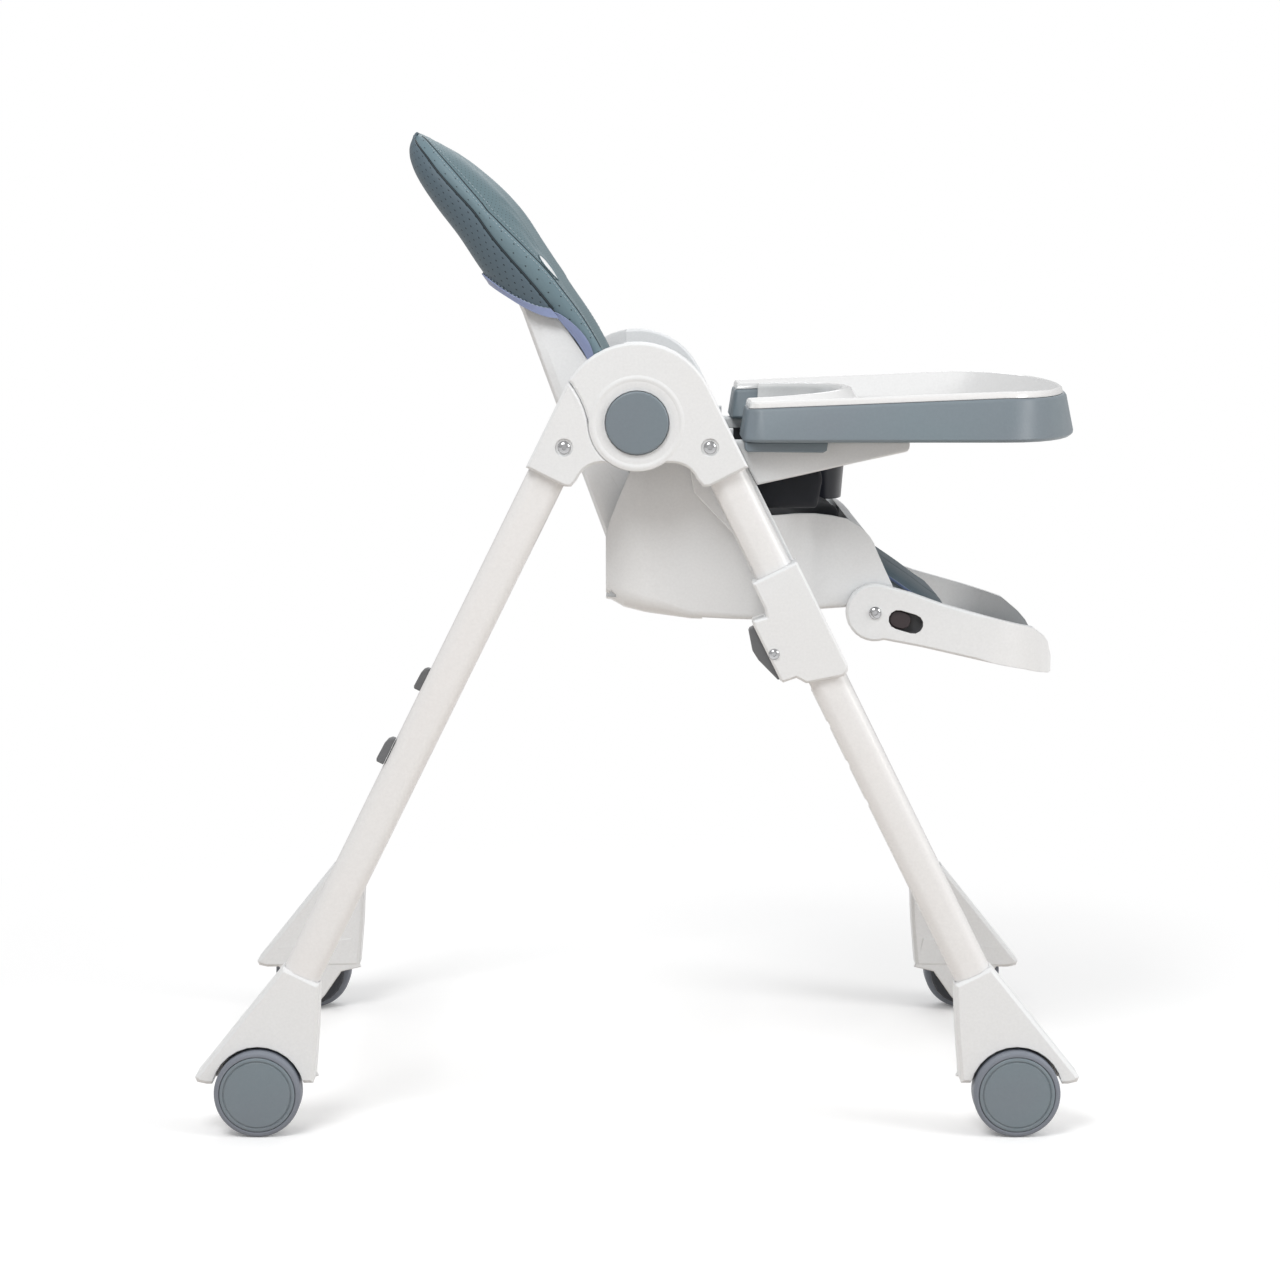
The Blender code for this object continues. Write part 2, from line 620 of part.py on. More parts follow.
def wheel_parts(corner, end, side, carrier, wheel_body):
    """Carrier disc with its axle, the wheel, and the wheel's cap."""
    x, z = end * WHEEL_X, WHEEL_RADIUS
    inner = CARRIER_FACE
    flange = WHEEL_INNER - RUNNING_GAP
    spigot = [(inner, 0), (inner, CARRIER_RADIUS - 0.002), (inner + 0.002, CARRIER_RADIUS),
              (flange, CARRIER_RADIUS), (flange, AXLE_RADIUS), (WHEEL_OUTER - 0.0075, AXLE_RADIUS),
              (WHEEL_OUTER - 0.0075, 0)]
    obj = add(f"wheel_carrier_{corner}", turned(spigot, x, z, side, 20), graphite(), carrier)
    shape(obj, rod(x - end * 0.0245, z, 0.003, side * (inner - OVERRUN), side * (flange - 0.0035), 10),
          carrier)
    bore = AXLE_RADIUS + CLEARANCE
    web = WHEEL_OUTER - 0.007
    profile = [(WHEEL_INNER, bore), (WHEEL_INNER, WHEEL_RADIUS - 0.0030),
               (WHEEL_INNER + 0.0030, WHEEL_RADIUS), (WHEEL_OUTER - 0.0030, WHEEL_RADIUS),
               (WHEEL_OUTER - 0.0008, WHEEL_RADIUS - 0.0012),
               (WHEEL_OUTER, CAP_RADIUS + 0.0012), (WHEEL_OUTER, CAP_RADIUS + CLEARANCE),
               (web, CAP_RADIUS + CLEARANCE), (web, bore)]
    add(f"wheel_{corner}", turned(profile, x, z, side, 28), material("tread", TREAD, 0.55),
        wheel_body)
    seat = web + CLEARANCE
    face = WHEEL_OUTER + 0.0004
    cap = [(seat, 0), (seat, CAP_RADIUS), (face, CAP_RADIUS), (face + 0.0008, CAP_RADIUS - 0.0010),
           (face + 0.0010, 0)]
    add(f"wheel_cap_{corner}", turned(cap, x, z, side, 28), slate(), wheel_body)


def crossbar(name, end, carrier):
    """Round tube between the two legs of one frame."""
    x, z = leg_point(CROSSBAR_AT, 0, end)
    reach = LEG_Y - TUBE_DEPTH / 2 - CLEARANCE
    obj = add(name, rod(x, z, CROSSBAR_RADIUS, -reach, reach, 20), white(), carrier)
    shape(obj, rod(x, z, CROSSBAR_RADIUS - TUBE_WALL, -reach - 0.01, reach + 0.01, 20), carrier)


def storage_peg(name, side):
    """Hook on a rear leg that the tray hangs on when it isn't in use."""
    n0 = TUBE_WIDTH / 2 + CLEARANCE
    section = [(0.0265, 0), (0.0265, 0.0068), (0.0240, 0.0080), (0.0090, 0.0075)]
    section += [(0.0035, 0.0060), (0.0005, 0.0032), (0, 0)]
    outline = [leg_point(PEG_AT + t, n0 + n, REAR) for t, n in section]
    peg = plate(outline, side * (LEG_Y - 0.006), side * (LEG_Y + 0.006), 0.001)
    add(name, peg, graphite(), "rear_frame")


# ---------------------------------------------------------------- seat
SEAT_WIDTHS = [(SEAT_REAR, SEAT_HALF_WIDTH - 0.022), (0.000, SEAT_HALF_WIDTH - 0.002),
               (0.040, SEAT_HALF_WIDTH), (0.112, SEAT_HALF_WIDTH),
               (0.170, SEAT_FRONT_HALF_WIDTH + 0.001), (0.250, SEAT_FRONT_HALF_WIDTH)]
SEAT_LOWS = [(SEAT_REAR, SEAT_BOTTOM + 0.016), (0.000, SEAT_BOTTOM + 0.006),
             (0.045, SEAT_BOTTOM + 0.001), (0.110, SEAT_BOTTOM), (0.190, SEAT_BOTTOM + 0.005),
             (0.240, SEAT_BOTTOM + 0.016)]

SEAT_CORNERS = [(SEAT_REAR, 0.020), (0.008, 0.018), (0.070, 0.006)]


def seat_ring(x, shrink, low, high, radius):
    """Upright U-shaped section of the seat at x, drawn in by shrink."""
    half = blend_at(SEAT_WIDTHS, x) - shrink
    right = arc(-half + radius, low + radius, radius, 180, 270, 3)
    left = arc(half - radius, low + radius, radius, 270, 360, 3)
    section = [(-half, high)] + right + left + [(half, high)]
    return [(x, y, z) for y, z in section]


def seat_side_profile():
    """What is cut away above the seat's side walls, seen from the side."""
    top = ARM_TOP - RUNNING_GAP
    floor = SEAT_FLOOR
    front = [(x - 0.0015, z) for x, z in arm_root(0)[:2]]
    front[0] = (ARM_ROOT - 0.0013, top)
    front += [(ARM_ROOT + 0.0200, floor + 0.0565), (ARM_ROOT + 0.0305, floor + 0.0355)]
    front += bend((ARM_ROOT + 0.0365, floor + 0.0275), (FLOOR_FRONT - 0.027, floor + 0.0280),
                  (FLOOR_FRONT - 0.001, floor + 0.0210), 4)
    front += bend((FLOOR_FRONT + 0.009, floor + 0.0150), (FLOOR_FRONT + 0.023, floor + 0.0050),
                  (FOOTREST_X + 0.0015, floor - 0.0080), 4)
    over = ARM_TOP + 2 * OVERRUN
    front += [(FOOTREST_X + 0.0100, FOOTREST_Z + 0.0390), (FOOTREST_X + 0.0180, FOOTREST_Z + 0.0220)]
    front += [(FOOTREST_X + 2 * OVERRUN, FOOTREST_Z + 0.0220), (FOOTREST_X + 2 * OVERRUN, over)]
    rear = [(SEAT_REAR - OVERRUN, over), (SEAT_REAR - OVERRUN, floor + 0.005),
            (SEAT_REAR - 0.0005, floor + 0.005), (SEAT_REAR + 0.0035, floor + 0.020),
            (SEAT_REAR + 0.0110, floor + 0.040), (SEAT_REAR + 0.0230, ARM_TOP - 0.0285),
            (SEAT_REAR + 0.0310, top)]
    return front + rear


def seat_shell():
    """One-piece seat: side walls, raised floor, hinge well and rounded lower edge."""
    stations = [SEAT_REAR, -0.024, -0.012, 0.008, 0.050, 0.105, 0.120, 0.135, 0.150, 0.168,
                0.200, 0.240]
    high = ARM_TOP + OVERRUN
    rings = [seat_ring(x, 0, blend_at(SEAT_LOWS, x), high, blend_at(SEAT_CORNERS, x))
             for x in stations]
    obj = add("seat_shell", loft(rings), white(), "seat", 30)
    shape(obj, plate(seat_side_profile(), -2 * SEAT_HALF_WIDTH, 2 * SEAT_HALF_WIDTH), "seat")
    inner = [x for x in stations if SEAT_REAR < x < WELL_FRONT]
    inner[0] = SEAT_REAR + SEAT_WALL
    well = [seat_ring(x, SEAT_WALL, WELL_FLOOR, high, 0.006) for x in inner + [WELL_FRONT]]
    shape(obj, loft(well), "seat")
    forward = [WELL_FRONT - 0.016, 0.080, 0.105, 0.120, 0.135, 0.150, 0.168, FLOOR_FRONT]
    bucket = [seat_ring(x, SEAT_WALL, SEAT_FLOOR, high, 0.010) for x in forward]
    shape(obj, loft(bucket), "seat")
    reach = BACK_HALF_WIDTH + 0.006
    back_gap = block(SEAT_REAR - OVERRUN, 0.0, -reach, reach, WELL_FLOOR, high)
    shape(obj, back_gap, "seat")
    under = []
    low = SEAT_BOTTOM - OVERRUN
    for x in (WELL_FRONT + 0.004, 0.085, 0.105, 0.120, 0.135, 0.150, 0.168, FLOOR_FRONT + 0.013):
        half = blend_at(SEAT_WIDTHS, x) - SEAT_WALL
        high = SEAT_FLOOR - FLOOR_THICKNESS
        under.append([(x, -half, low), (x, half, low), (x, half, high), (x, -half, high)])
    shape(obj, loft(under), "seat")
    reach = SEAT_FRONT_HALF_WIDTH - 0.0105
    mouth = block(SEAT_MOUTH, SEAT_MOUTH + 2 * OVERRUN, -reach, reach, low, ARM_TOP + OVERRUN)
    shape(obj, mouth, "seat")
    ear_y = FOOTREST_INNER - RUNNING_GAP
    for side in SIDES.values():
        root = side * (SEAT_FRONT_HALF_WIDTH - 0.010)
        ear = rod(FOOTREST_X, FOOTREST_Z, 0.023, root, side * ear_y, 24)
        shape(obj, ear, "seat", "UNION")
        pin = rod(FOOTREST_X, FOOTREST_Z, TRUNNION_RADIUS, root, side * (ear_y + PIN_LENGTH), 14)
        shape(obj, pin, "seat", "UNION")
        hole = rod(RECLINE_X, RECLINE_Z, TRUNNION_RADIUS + CLEARANCE,
                   side * (SEAT_HALF_WIDTH - 0.02), side * (SEAT_HALF_WIDTH + 0.02), 16)
        shape(obj, hole, "seat")


def sleeve_outline():
    """Height sleeve and its lever housing, seen from the side."""
    w = SLEEVE_HALF_WIDTH
    s = SLEEVE_START
    rows = [(s, -w), (s, w), (s + 0.105, w), (s + 0.110, w - 0.0025), (s + 0.1125, w - 0.008),
            (s + 0.1035, -w + 0.004), (s + 0.095, -w - 0.002), (s + 0.0935, -w - 0.0145),
            (s + 0.0905, -w - 0.0160), (s + 0.034, -w - 0.0160), (s + 0.031, -w - 0.0140),
            (s + 0.033, -w - 0.002), (s + 0.026, -w)]
    return [leg_point(t, n, FRONT) for t, n in rows]


def height_sleeve(name, side):
    """Sleeve that slides on a front leg, with the upright that carries seat and armrest."""
    sleeve = plate(sleeve_outline(), side * HUB_INNER, side * SLEEVE_OUTER, 0.002)
    obj = add(name, sleeve, white(), "seat")
    inner = SEAT_HALF_WIDTH + CLEARANCE
    start = SLEEVE_START
    upright = arm_root(0)
    upright += [leg_point(start + 0.059, 0.0205, FRONT), leg_point(start + 0.059, -0.019, FRONT),
                leg_point(start - 0.046, -0.019, FRONT), (ARM_ROOT - 0.0355, ARM_TOP - 0.0475),
                (ARM_ROOT - 0.0435, ARM_TOP), (ARM_ROOT - 0.0425, ARM_TOP + ARM_STEP - 0.003),
                (ARM_ROOT - 0.0385, ARM_TOP + ARM_STEP), (ARM_ROOT, ARM_TOP + ARM_STEP)]
    shape(obj, plate(upright, side * inner, side * UPRIGHT_OUTER, 0.0008), "seat", "UNION")
    corners = ((0.004, -0.0185), (0.004, 0.0200), (0.0585, 0.0200), (0.0585, -0.0185))
    bridge = [leg_point(start + t, n, FRONT) for t, n in corners]
    shape(obj, plate(bridge, side * (inner + 0.002), side * (HUB_INNER + 0.003)), "seat", "UNION")
    bore = leg_prism(tube_section(RUNNING_GAP), start - OVERRUN, start + 0.154, FRONT, side)
    shape(obj, bore, "seat")
    slot_rows = ((0.024, 0.0375), (0.102, 0.0375), (0.102, 0.0065), (0.024, 0.0037))
    slot = [leg_point(start + t, -SLEEVE_HALF_WIDTH - n, FRONT) for t, n in slot_rows]
    gap = LEVER_HALF_WIDTH + RUNNING_GAP
    shape(obj, plate(slot, side * (LEG_Y - gap), side * (LEG_Y + gap)), "seat")
    pin_x, pin_z = lever_pivot()
    pin = rod(pin_x, pin_z, 0.002, side * (LEG_Y - gap - 0.002), side * (LEG_Y + gap + 0.002), 10)
    shape(obj, pin, "seat", "UNION")


def lever_pivot():
    return leg_point(SLEEVE_START + 0.0663, -SLEEVE_HALF_WIDTH - 0.011, FRONT)


def height_lever(name, side, carrier):
    """Squeeze lever behind the sleeve; it rocks on the pin in the housing."""
    rows = ((0.0370, 0.0160), (0.0370, 0.0200), (0.0385, 0.0220), (0.0560, 0.0268),
            (0.0660, 0.0258), (0.0900, 0.0180), (0.0910, 0.0155), (0.0740, 0.0075),
            (0.0585, 0.0075), (0.0490, 0.0140))
    outline = [leg_point(SLEEVE_START + t, -SLEEVE_HALF_WIDTH - n, FRONT) for t, n in rows]
    w = LEVER_HALF_WIDTH
    obj = add(name, plate(outline, side * (LEG_Y - w), side * (LEG_Y + w), 0.0008), graphite(),
              carrier)
    pin_x, pin_z = lever_pivot()
    pin_hole = rod(pin_x, pin_z, 0.0023, side * (LEG_Y - OVERRUN), side * (LEG_Y + OVERRUN), 12)
    shape(obj, pin_hole, carrier)


def armrest(name, side):
    """Tapered arm that the tray slides on, hollow underneath."""
    tip = bend((ARM_TIP - 0.004, ARM_TOP - 0.0100), (ARM_TIP, ARM_TOP - 0.0095),
               (ARM_TIP, ARM_TOP - 0.0035), 3)
    under = [(ARM_TIP - 0.098, ARM_TOP - 0.0310), (ARM_TIP - 0.048, ARM_TOP - 0.0195)]
    outline = arm_root(CLEARANCE) + under + tip + [(ARM_TIP, ARM_TOP)]
    obj = add(name, plate(outline, side * ARM_INNER, side * ARM_OUTER, 0.0015), white(), "seat")
    rear, front = ARM_ROOT + 0.0375, ARM_TIP - 0.013
    low, high = ARM_TOP - OVERRUN, ARM_TOP - 0.004
    hollow = [(rear, low), (front, low), (front, high - 0.0025), (front - 0.030, high), (rear, high)]
    wall = 0.003
    shape(obj, plate(hollow, side * (ARM_INNER + wall), side * (ARM_OUTER - wall)), "seat")


def seat_pad():
    """Cushion on the seat floor, crowned at the front edge."""
    rings = []
    low = SEAT_FLOOR + CLEARANCE
    for x, drop in ((WELL_FRONT + 0.004, 0.008), (0.075, 0.001), (0.120, 0), (0.160, 0),
                    (FLOOR_FRONT - 0.022, 0.002), (FLOOR_FRONT - 0.008, 0.012)):
        half = blend_at(SEAT_WIDTHS, x) - SEAT_WALL - 0.004
        high = low + PAD_THICKNESS - drop
        ring = [(x, -half, low + 0.008), (x, -half + 0.010, low), (x, half - 0.010, low),
                (x, half, low + 0.008), (x, half - 0.004, high - 0.008), (x, half - 0.020, high),
                (x, 0, high - 0.003), (x, -half + 0.020, high), (x, -half + 0.004, high - 0.008)]
        rings.append(ring)
    add("seat_pad", loft(rings), lining(), "seat", 60)


def side_wing(name, side):
    """Padded liner panel inside an armrest."""
    low = SEAT_FLOOR + PAD_THICKNESS + 0.0035
    high = ARM_TOP - 0.011
    outline = [(0.020, low + 0.0065), (0.070, low), (0.166, low), (0.171, low + 0.0265),
               (0.166, high), (0.030, high), (0.012, high - 0.0125)]
    wing = plate(outline, side * (ARM_INNER - WING_THICKNESS), side * (ARM_INNER - CLEARANCE), 0.004)
    add(name, wing, lining(), "seat", 60)


def crotch_post():
    """Rounded, tapered post between the child's legs, up to the tray."""
    rings = []
    low = SEAT_FLOOR + PAD_THICKNESS
    for z, grow in ((low, 0.0005), (low + 0.030, 0.0030), (ARM_TOP - 0.0175, 0.0060),
                    (ARM_TOP - 0.0035, 0.0075),
                    (ARM_TOP, 0.0055)):
        half = POST_HALF_WIDTH + grow
        rings.append([(POST_X + (0.017 + grow) * math.cos(a), half * math.sin(a), z)
                      for a in (2 * math.pi * i / 20 for i in range(20))])
    add("crotch_post", loft(rings), slate(), "seat", 50)


# ---------------------------------------------------------------- backrest
# rows of (share of the backrest's height, offset forward or half width)
BACK_REARS = [(0.617, BACK_REAR), (0.741, -0.0385), (0.864, -0.0480), (1.0, -0.0620)]
BACK_FRONTS = [(0.395, 0.0060), (0.459, -0.0020), (0.617, -0.0250), (0.741, -0.0285),
               (0.864, -0.0370), (1.0, -0.0500)]
BACK_WIDTHS = [(0.0, BACK_HALF_WIDTH), (0.494, BACK_HALF_WIDTH - 0.010),
               (0.642, BACK_HALF_WIDTH - 0.022), (0.864, BACK_HALF_WIDTH - 0.030),
               (1.0, BACK_HALF_WIDTH - 0.058)]


def back_ring(u, rear, front, half, radius):
    """Level section of the backrest at u: rear corners rounded."""
    rows = [(half, front), (half, rear + radius)]
    rows += [(half - radius * 0.3, rear + radius * 0.3), (half - radius, rear)]
    rows += [(-half + radius, rear), (-half + radius * 0.3, rear + radius * 0.3)]
    rows += [(-half, rear + radius), (-half, front)]
    ring = []
    for y, n in rows:
        x, z = back_point(u, n)
        ring.append((x, y, z))
    return ring


def back_row(u, share, wall, radius):
    """Section of the backrest, or of the hollow inside its wall, open at the front."""
    rear = blend_at(BACK_REARS, share) + wall
    front = blend_at(BACK_FRONTS, share) + (OVERRUN if wall > 0 else 0)
    return back_ring(u, rear, front, blend_at(BACK_WIDTHS, share) - wall, radius)


def back_shell():
    """Backrest moulding: a panel with side flanges, trunnions and a window for the handle."""
    foot = -2 * TRUNNION_RADIUS
    rings = [back_row(foot, 0.0, 0.0, 0.010)]
    for share in (0.0, 0.395, 0.459, 0.538, 0.617, 0.679, 0.741, 0.864, 0.963, 1.0):
        rings.append(back_row(share * BACK_TOP, share, 0.0, 0.010))
    hollow = [back_row(foot + BACK_WALL, 0.0, BACK_WALL, 0.007)]
    for share in (0.380, 0.445, 0.520, 0.600, 0.665, 0.725, 0.850, 0.950, 0.988):
        hollow.append(back_row(share * BACK_TOP, share, BACK_WALL, 0.007))
    obj = add("back_shell", loft(rings), white(), "backrest", 30)
    shape(obj, loft(hollow), "backrest")
    window = []
    for n in (BACK_REAR - 0.02, 0.0):
        window.append([(x, y, z) for y, (x, z) in (
            (-HANDLE_HALF_WIDTH, back_point(HANDLE_LOW, n)),
            (HANDLE_HALF_WIDTH, back_point(HANDLE_LOW, n)),
            (HANDLE_HALF_WIDTH, back_point(HANDLE_LOW + HANDLE_HEIGHT + HANDLE_TRAVEL + 0.001, n)),
            (-HANDLE_HALF_WIDTH, back_point(HANDLE_LOW + HANDLE_HEIGHT + HANDLE_TRAVEL + 0.001, n)))])
    shape(obj, loft(window), "backrest")
    for side in SIDES.values():
        trunnion = rod(RECLINE_X, RECLINE_Z, TRUNNION_RADIUS, side * (BACK_HALF_WIDTH - 0.006),
                       side * (SEAT_HALF_WIDTH - 0.0005), 14)
        shape(obj, trunnion, "backrest", "UNION")


def recline_handle():
    """Sliding paddle in the window behind the backrest."""
    gap = CLEARANCE
    low, high = HANDLE_LOW + gap, HANDLE_LOW + HANDLE_HEIGHT
    inner = BACK_REAR + BACK_WALL + gap
    half = HANDLE_HALF_WIDTH - RUNNING_GAP
    rings = []
    for n, wide, tall in ((BACK_REAR + 0.0006, half - 0.001, 0.001), (BACK_REAR + 0.0014, half, 0),
                          (inner, half, 0), (inner, half + 0.007, 0), (inner + 0.004, half + 0.007, 0)):
        ring = []
        for y, u in ((-wide, low + tall), (wide, low + tall), (wide, high - tall), (-wide, high - tall)):
            x, z = back_point(u, n)
            ring.append((x, y, z))
        rings.append(ring)
    add("recline_handle", loft(rings), graphite(), "recline_handle_body")


# rows of (share of the backrest's height, rear, front, narrower than the backrest by, dish)
COVER_ROWS = [(0.074, 0.0060, 0.0260, 0.022, 0.004), (0.247, 0.0065, 0.0300, 0.014, 0.010),
              (0.420, 0.0070, 0.0275, 0.009, 0.012), (0.573, -0.0020, 0.0165, 0.007, 0.013),
              (0.622, -0.0385, 0.0115, 0.006, 0.015), (0.691, -0.0488, 0.0055, 0.005, 0.017),
              (0.753, -0.0560, 0.0000, 0.005, 0.018), (0.835, -0.0636, -0.0070, 0.007, 0.018),
              (0.911, -0.0733, -0.0185, 0.012, 0.016), (0.988, -0.0807, -0.0355, 0.023, 0.012),
              (1.035, -0.0815, -0.0480, 0.038, 0.008), (1.064, -0.0780, -0.0580, 0.056, 0.003),
              (1.078, -0.0710, -0.0650, 0.072, 0.0)]


def back_cover():
    """Padded cover: a pocket over the top of the back shell and a pad down its front."""
    rings = []
    for share, rear, front, narrow, dish in COVER_ROWS:
        half = BACK_HALF_WIDTH - narrow
        soft = min(0.016, (front - rear) * 0.45)
        rows = [(-half, front - soft), (-half + soft * 0.3, front - soft * 0.3), (-half + soft, front)]
        for across in (-0.62, -0.30, 0.0, 0.30, 0.62):
            rows.append((half * across, front - dish * (1 - across ** 2)))
        rows += [(half - soft, front), (half - soft * 0.3, front - soft * 0.3), (half, front - soft)]
        rows += [(half, rear + soft), (half - soft, rear), (-half + soft, rear), (-half, rear + soft)]
        ring = []
        for y, n in rows:
            x, z = back_point(share * BACK_TOP, n)
            ring.append((x, y, z))
        rings.append(ring)
    obj = add("back_cover", loft(rings), leatherette(), "backrest", 60)
    pocket = []
    for share in (0.420, 0.459, 0.538, 0.617, 0.679, 0.741, 0.864, 0.963, 1.0025):
        rear = blend_at(BACK_REARS, share) - 2 * CLEARANCE
        front = blend_at(BACK_FRONTS, share) + 2 * CLEARANCE
        half = blend_at(BACK_WIDTHS, share) + 2 * CLEARANCE
        pocket.append(back_ring(share * BACK_TOP, rear, front, half, 0.009))
    shape(obj, loft(pocket), "backrest")


# ---------------------------------------------------------------- footrest
def footrest_profile():
    """Side outline: pivot disc, tapering arm and rounded front."""
    disc = arc(FOOTREST_X, FOOTREST_Z, FOOTREST_RADIUS, 75, 288, 18)
    nose = FOOTREST_LENGTH
    low = [(0.044, -0.0325), (nose - 0.074, -0.0470), (nose - 0.041, -0.0545), (nose - 0.018, -0.0620)]
    front = bend((nose - 0.008, -0.0660), (nose, -0.0675), (nose - 0.0015, -0.0610), 3)
    top = [(nose - 0.0115, -0.0345), (nose - 0.0165, -0.0280), (nose - 0.030, -0.0170),
           (0.063, 0.0080), (0.034, 0.0185)]
    rest = [(FOOTREST_X + x, FOOTREST_Z + z) for x, z in low + front + top]
    return disc + rest


def footrest_plan(shrink, front_shrink, rear):
    """Plan outline of the footrest, straight sided with a bowed front."""
    half = FOOTREST_OUTER - shrink
    reach = FOOTREST_FRONT - front_shrink - FOOTREST_BEND
    points = [(rear, -half)]
    for i in range(17):
        angle = -math.pi / 2 + math.pi * i / 16
        bow_x = abs(math.cos(angle)) ** 0.8
        bow_y = math.copysign(abs(math.sin(angle)) ** 0.8, math.sin(angle))
        points.append((FOOTREST_BEND + reach * bow_x, half * bow_y))
    return points + [(rear, half)]


def slot_centre():
    return (FOOTREST_X + SLOT_AT * math.cos(SLOT_ANGLE), FOOTREST_Z - SLOT_AT * math.sin(SLOT_ANGLE))


def turned_outline(outline, centre, angle):
    """Outline turned by angle and moved to centre."""
    c, s = math.cos(angle), math.sin(angle)
    return [(centre[0] + x * c - z * s, centre[1] + x * s + z * c) for x, z in outline]


def footrest():
    """U-shaped footrest: two arms on pivots, a bowed front and a foot plate between them."""
    outline = footrest_profile()
    obj = add("footrest", plate(outline, -FOOTREST_OUTER, FOOTREST_OUTER, 0.002), white(),
              "footrest", 30)
    behind = FOOTREST_X - 2 * OVERRUN
    low, high = FOOTREST_Z - 2 * OVERRUN, FOOTREST_Z + 2 * OVERRUN
    outer = footrest_plan(0, 0, behind)
    hull = loft([[(x, y, low) for x, y in outer], [(x, y, high) for x, y in outer]])
    shape(obj, hull, "footrest", "INTERSECT")
    inner = footrest_plan(FOOTREST_OUTER - FOOTREST_INNER, FOOTREST_WALL, behind)
    rings = []
    for lift in (0, 0.2):
        ring = []
        for x, y in inner:
            floor = FOOTREST_Z - 0.0425 - (x - FOOTREST_FRONT + 0.074) * FOOT_PLATE_SLOPE
            ring.append((x, y, floor + lift))
        rings.append(ring)
    shape(obj, loft(rings), "footrest")
    open_plan = [(behind, FOOTREST_INNER), (FOOTREST_BEND - 0.013, FOOTREST_INNER),
                 (FOOTREST_BEND, FOOTREST_INNER - 0.02)]
    open_plan += [(x, -y) for x, y in reversed(open_plan)]
    gap = loft([[(x, y, low) for x, y in open_plan], [(x, y, high) for x, y in open_plan]])
    shape(obj, gap, "footrest")
    slot = turned_outline(stadium(SLOT_LENGTH, SLOT_WIDTH), slot_centre(), -SLOT_ANGLE)
    reach = FOOTREST_OUTER + OVERRUN
    for side in SIDES.values():
        pocket = plate(slot, side * (FOOTREST_INNER + SLOT_SKIN), side * reach)
        shape(obj, pocket, "footrest")
    bore = TRUNNION_RADIUS + CLEARANCE
    depth = FOOTREST_INNER + PIN_LENGTH
    shape(obj, rod(FOOTREST_X, FOOTREST_Z, bore, -depth, depth, 16), "footrest")


def footrest_latch(name, side, carrier):
    """Button in an arm's slot that frees the footrest."""
    width = SLOT_WIDTH - 2 * RUNNING_GAP
    length = SLOT_LENGTH - LATCH_TRAVEL - 2 * RUNNING_GAP
    shift = (-LATCH_TRAVEL / 2, 0)
    outline = [(x + shift[0], z) for x, z in stadium(length, width)]
    outline = turned_outline(outline, slot_centre(), -SLOT_ANGLE)
    latch = plate(outline, side * (FOOTREST_INNER + 0.0045), side * (FOOTREST_OUTER - 0.003), 0.0008)
    add(name, latch, graphite(), carrier)


def leg_pad():
    """Padded flap from the seat's front edge down into the footrest."""
    line = [(-0.0045, 0.0400), (0.0100, 0.0265), (0.0320, 0.0095), (0.0500, -0.0045),
            (0.0660, -0.0150)]
    line = [(FOOTREST_X + x, FOOTREST_Z + z) for x, z in line]
    half = FOOTREST_INNER - 0.018
    rings = []
    for i, (x, z) in enumerate(line):
        before, after = line[max(0, i - 1)], line[min(len(line) - 1, i + 1)]
        along = Vector((after[0] - before[0], after[1] - before[1])).normalized()
        normal = Vector((-along.y, along.x))
        thick = 0.0045 if i in (0, len(line) - 1) else 0.0075
        ring = []
        eased = half - 0.006
        for y, share in ((-half, 0), (-eased, 1), (eased, 1), (half, 0), (eased, -1), (-eased, -1)):
            ring.append((x + normal.x * thick * share, y, z + normal.y * thick * share))
        rings.append(ring)
    add("leg_pad", loft(rings), leatherette(), "footrest", 60)


# ---------------------------------------------------------------- tray
def rim_height(x):
    share = min(1, max(0, (x - TRAY_REAR) / (TRAY_SHOULDER - TRAY_REAR)))
    return TRAY_RIM_REAR + TRAY_RISE * share


def tray_plan(inward):
    """Plan outline of the tray drawn in by a distance: bowed front, arms and belly curve."""
    half = TRAY_HALF_WIDTH - inward
    reach = TRAY_FRONT - inward - TRAY_SHOULDER
    side = []
    for i in range(10):
        angle = math.pi / 2 * i / 9
        side.append((TRAY_SHOULDER + reach * math.cos(angle) ** 0.90, half * math.sin(angle) ** 0.90))
    side.append(((TRAY_SHOULDER + TRAY_REAR) / 2, half))
    tip = TRAY_REAR + inward * 0.55
    outer = max(0.022 - inward, 0.002)
    side += [(x, y) for x, y in arc(tip + outer, half - outer, outer, 90, 180, 3)]
    inner = max(0.012 - inward, 0.002)
    wing = BELLY_HALF_WIDTH + inward
    side += [(x, y) for x, y in arc(tip + inner, wing + inner, inner, 180, 262, 2)]
    depth = BELLY_DEPTH + inward
    for i in range(1, 8):
        angle = math.pi / 2 * (1 - i / 7)
        side.append((TRAY_REAR + 0.012 + depth * math.cos(angle) ** 1.15, wing * math.sin(angle)))
    mirrored = [(x, -y) for x, y in reversed(side[1:-1])]
    return side + mirrored


def tray_ring(inward, height):
    """Ring of the tray at an inset; height is a number or a function of x."""
    ring = []
    for x, y in tray_plan(inward):
        ring.append((x, y, height(x) if callable(height) else height))
    return ring


def tray_base():
    """Slate tray body: drafted wall, flat rim and a recess for the insert."""
    rings = [tray_ring(0.0025, TRAY_BOTTOM), tray_ring(0, TRAY_BOTTOM + 0.0025),
             tray_ring(TRAY_DRAFT - 0.002, lambda x: rim_height(x) - 0.003),
             tray_ring(TRAY_DRAFT, rim_height),
             tray_ring(TRAY_DRAFT + RIM_WIDTH, rim_height),
             tray_ring(TRAY_DRAFT + RIM_WIDTH + 0.0005, TRAY_FLOOR)]
    add("tray_base", loft(rings), slate(), "tray", 30)


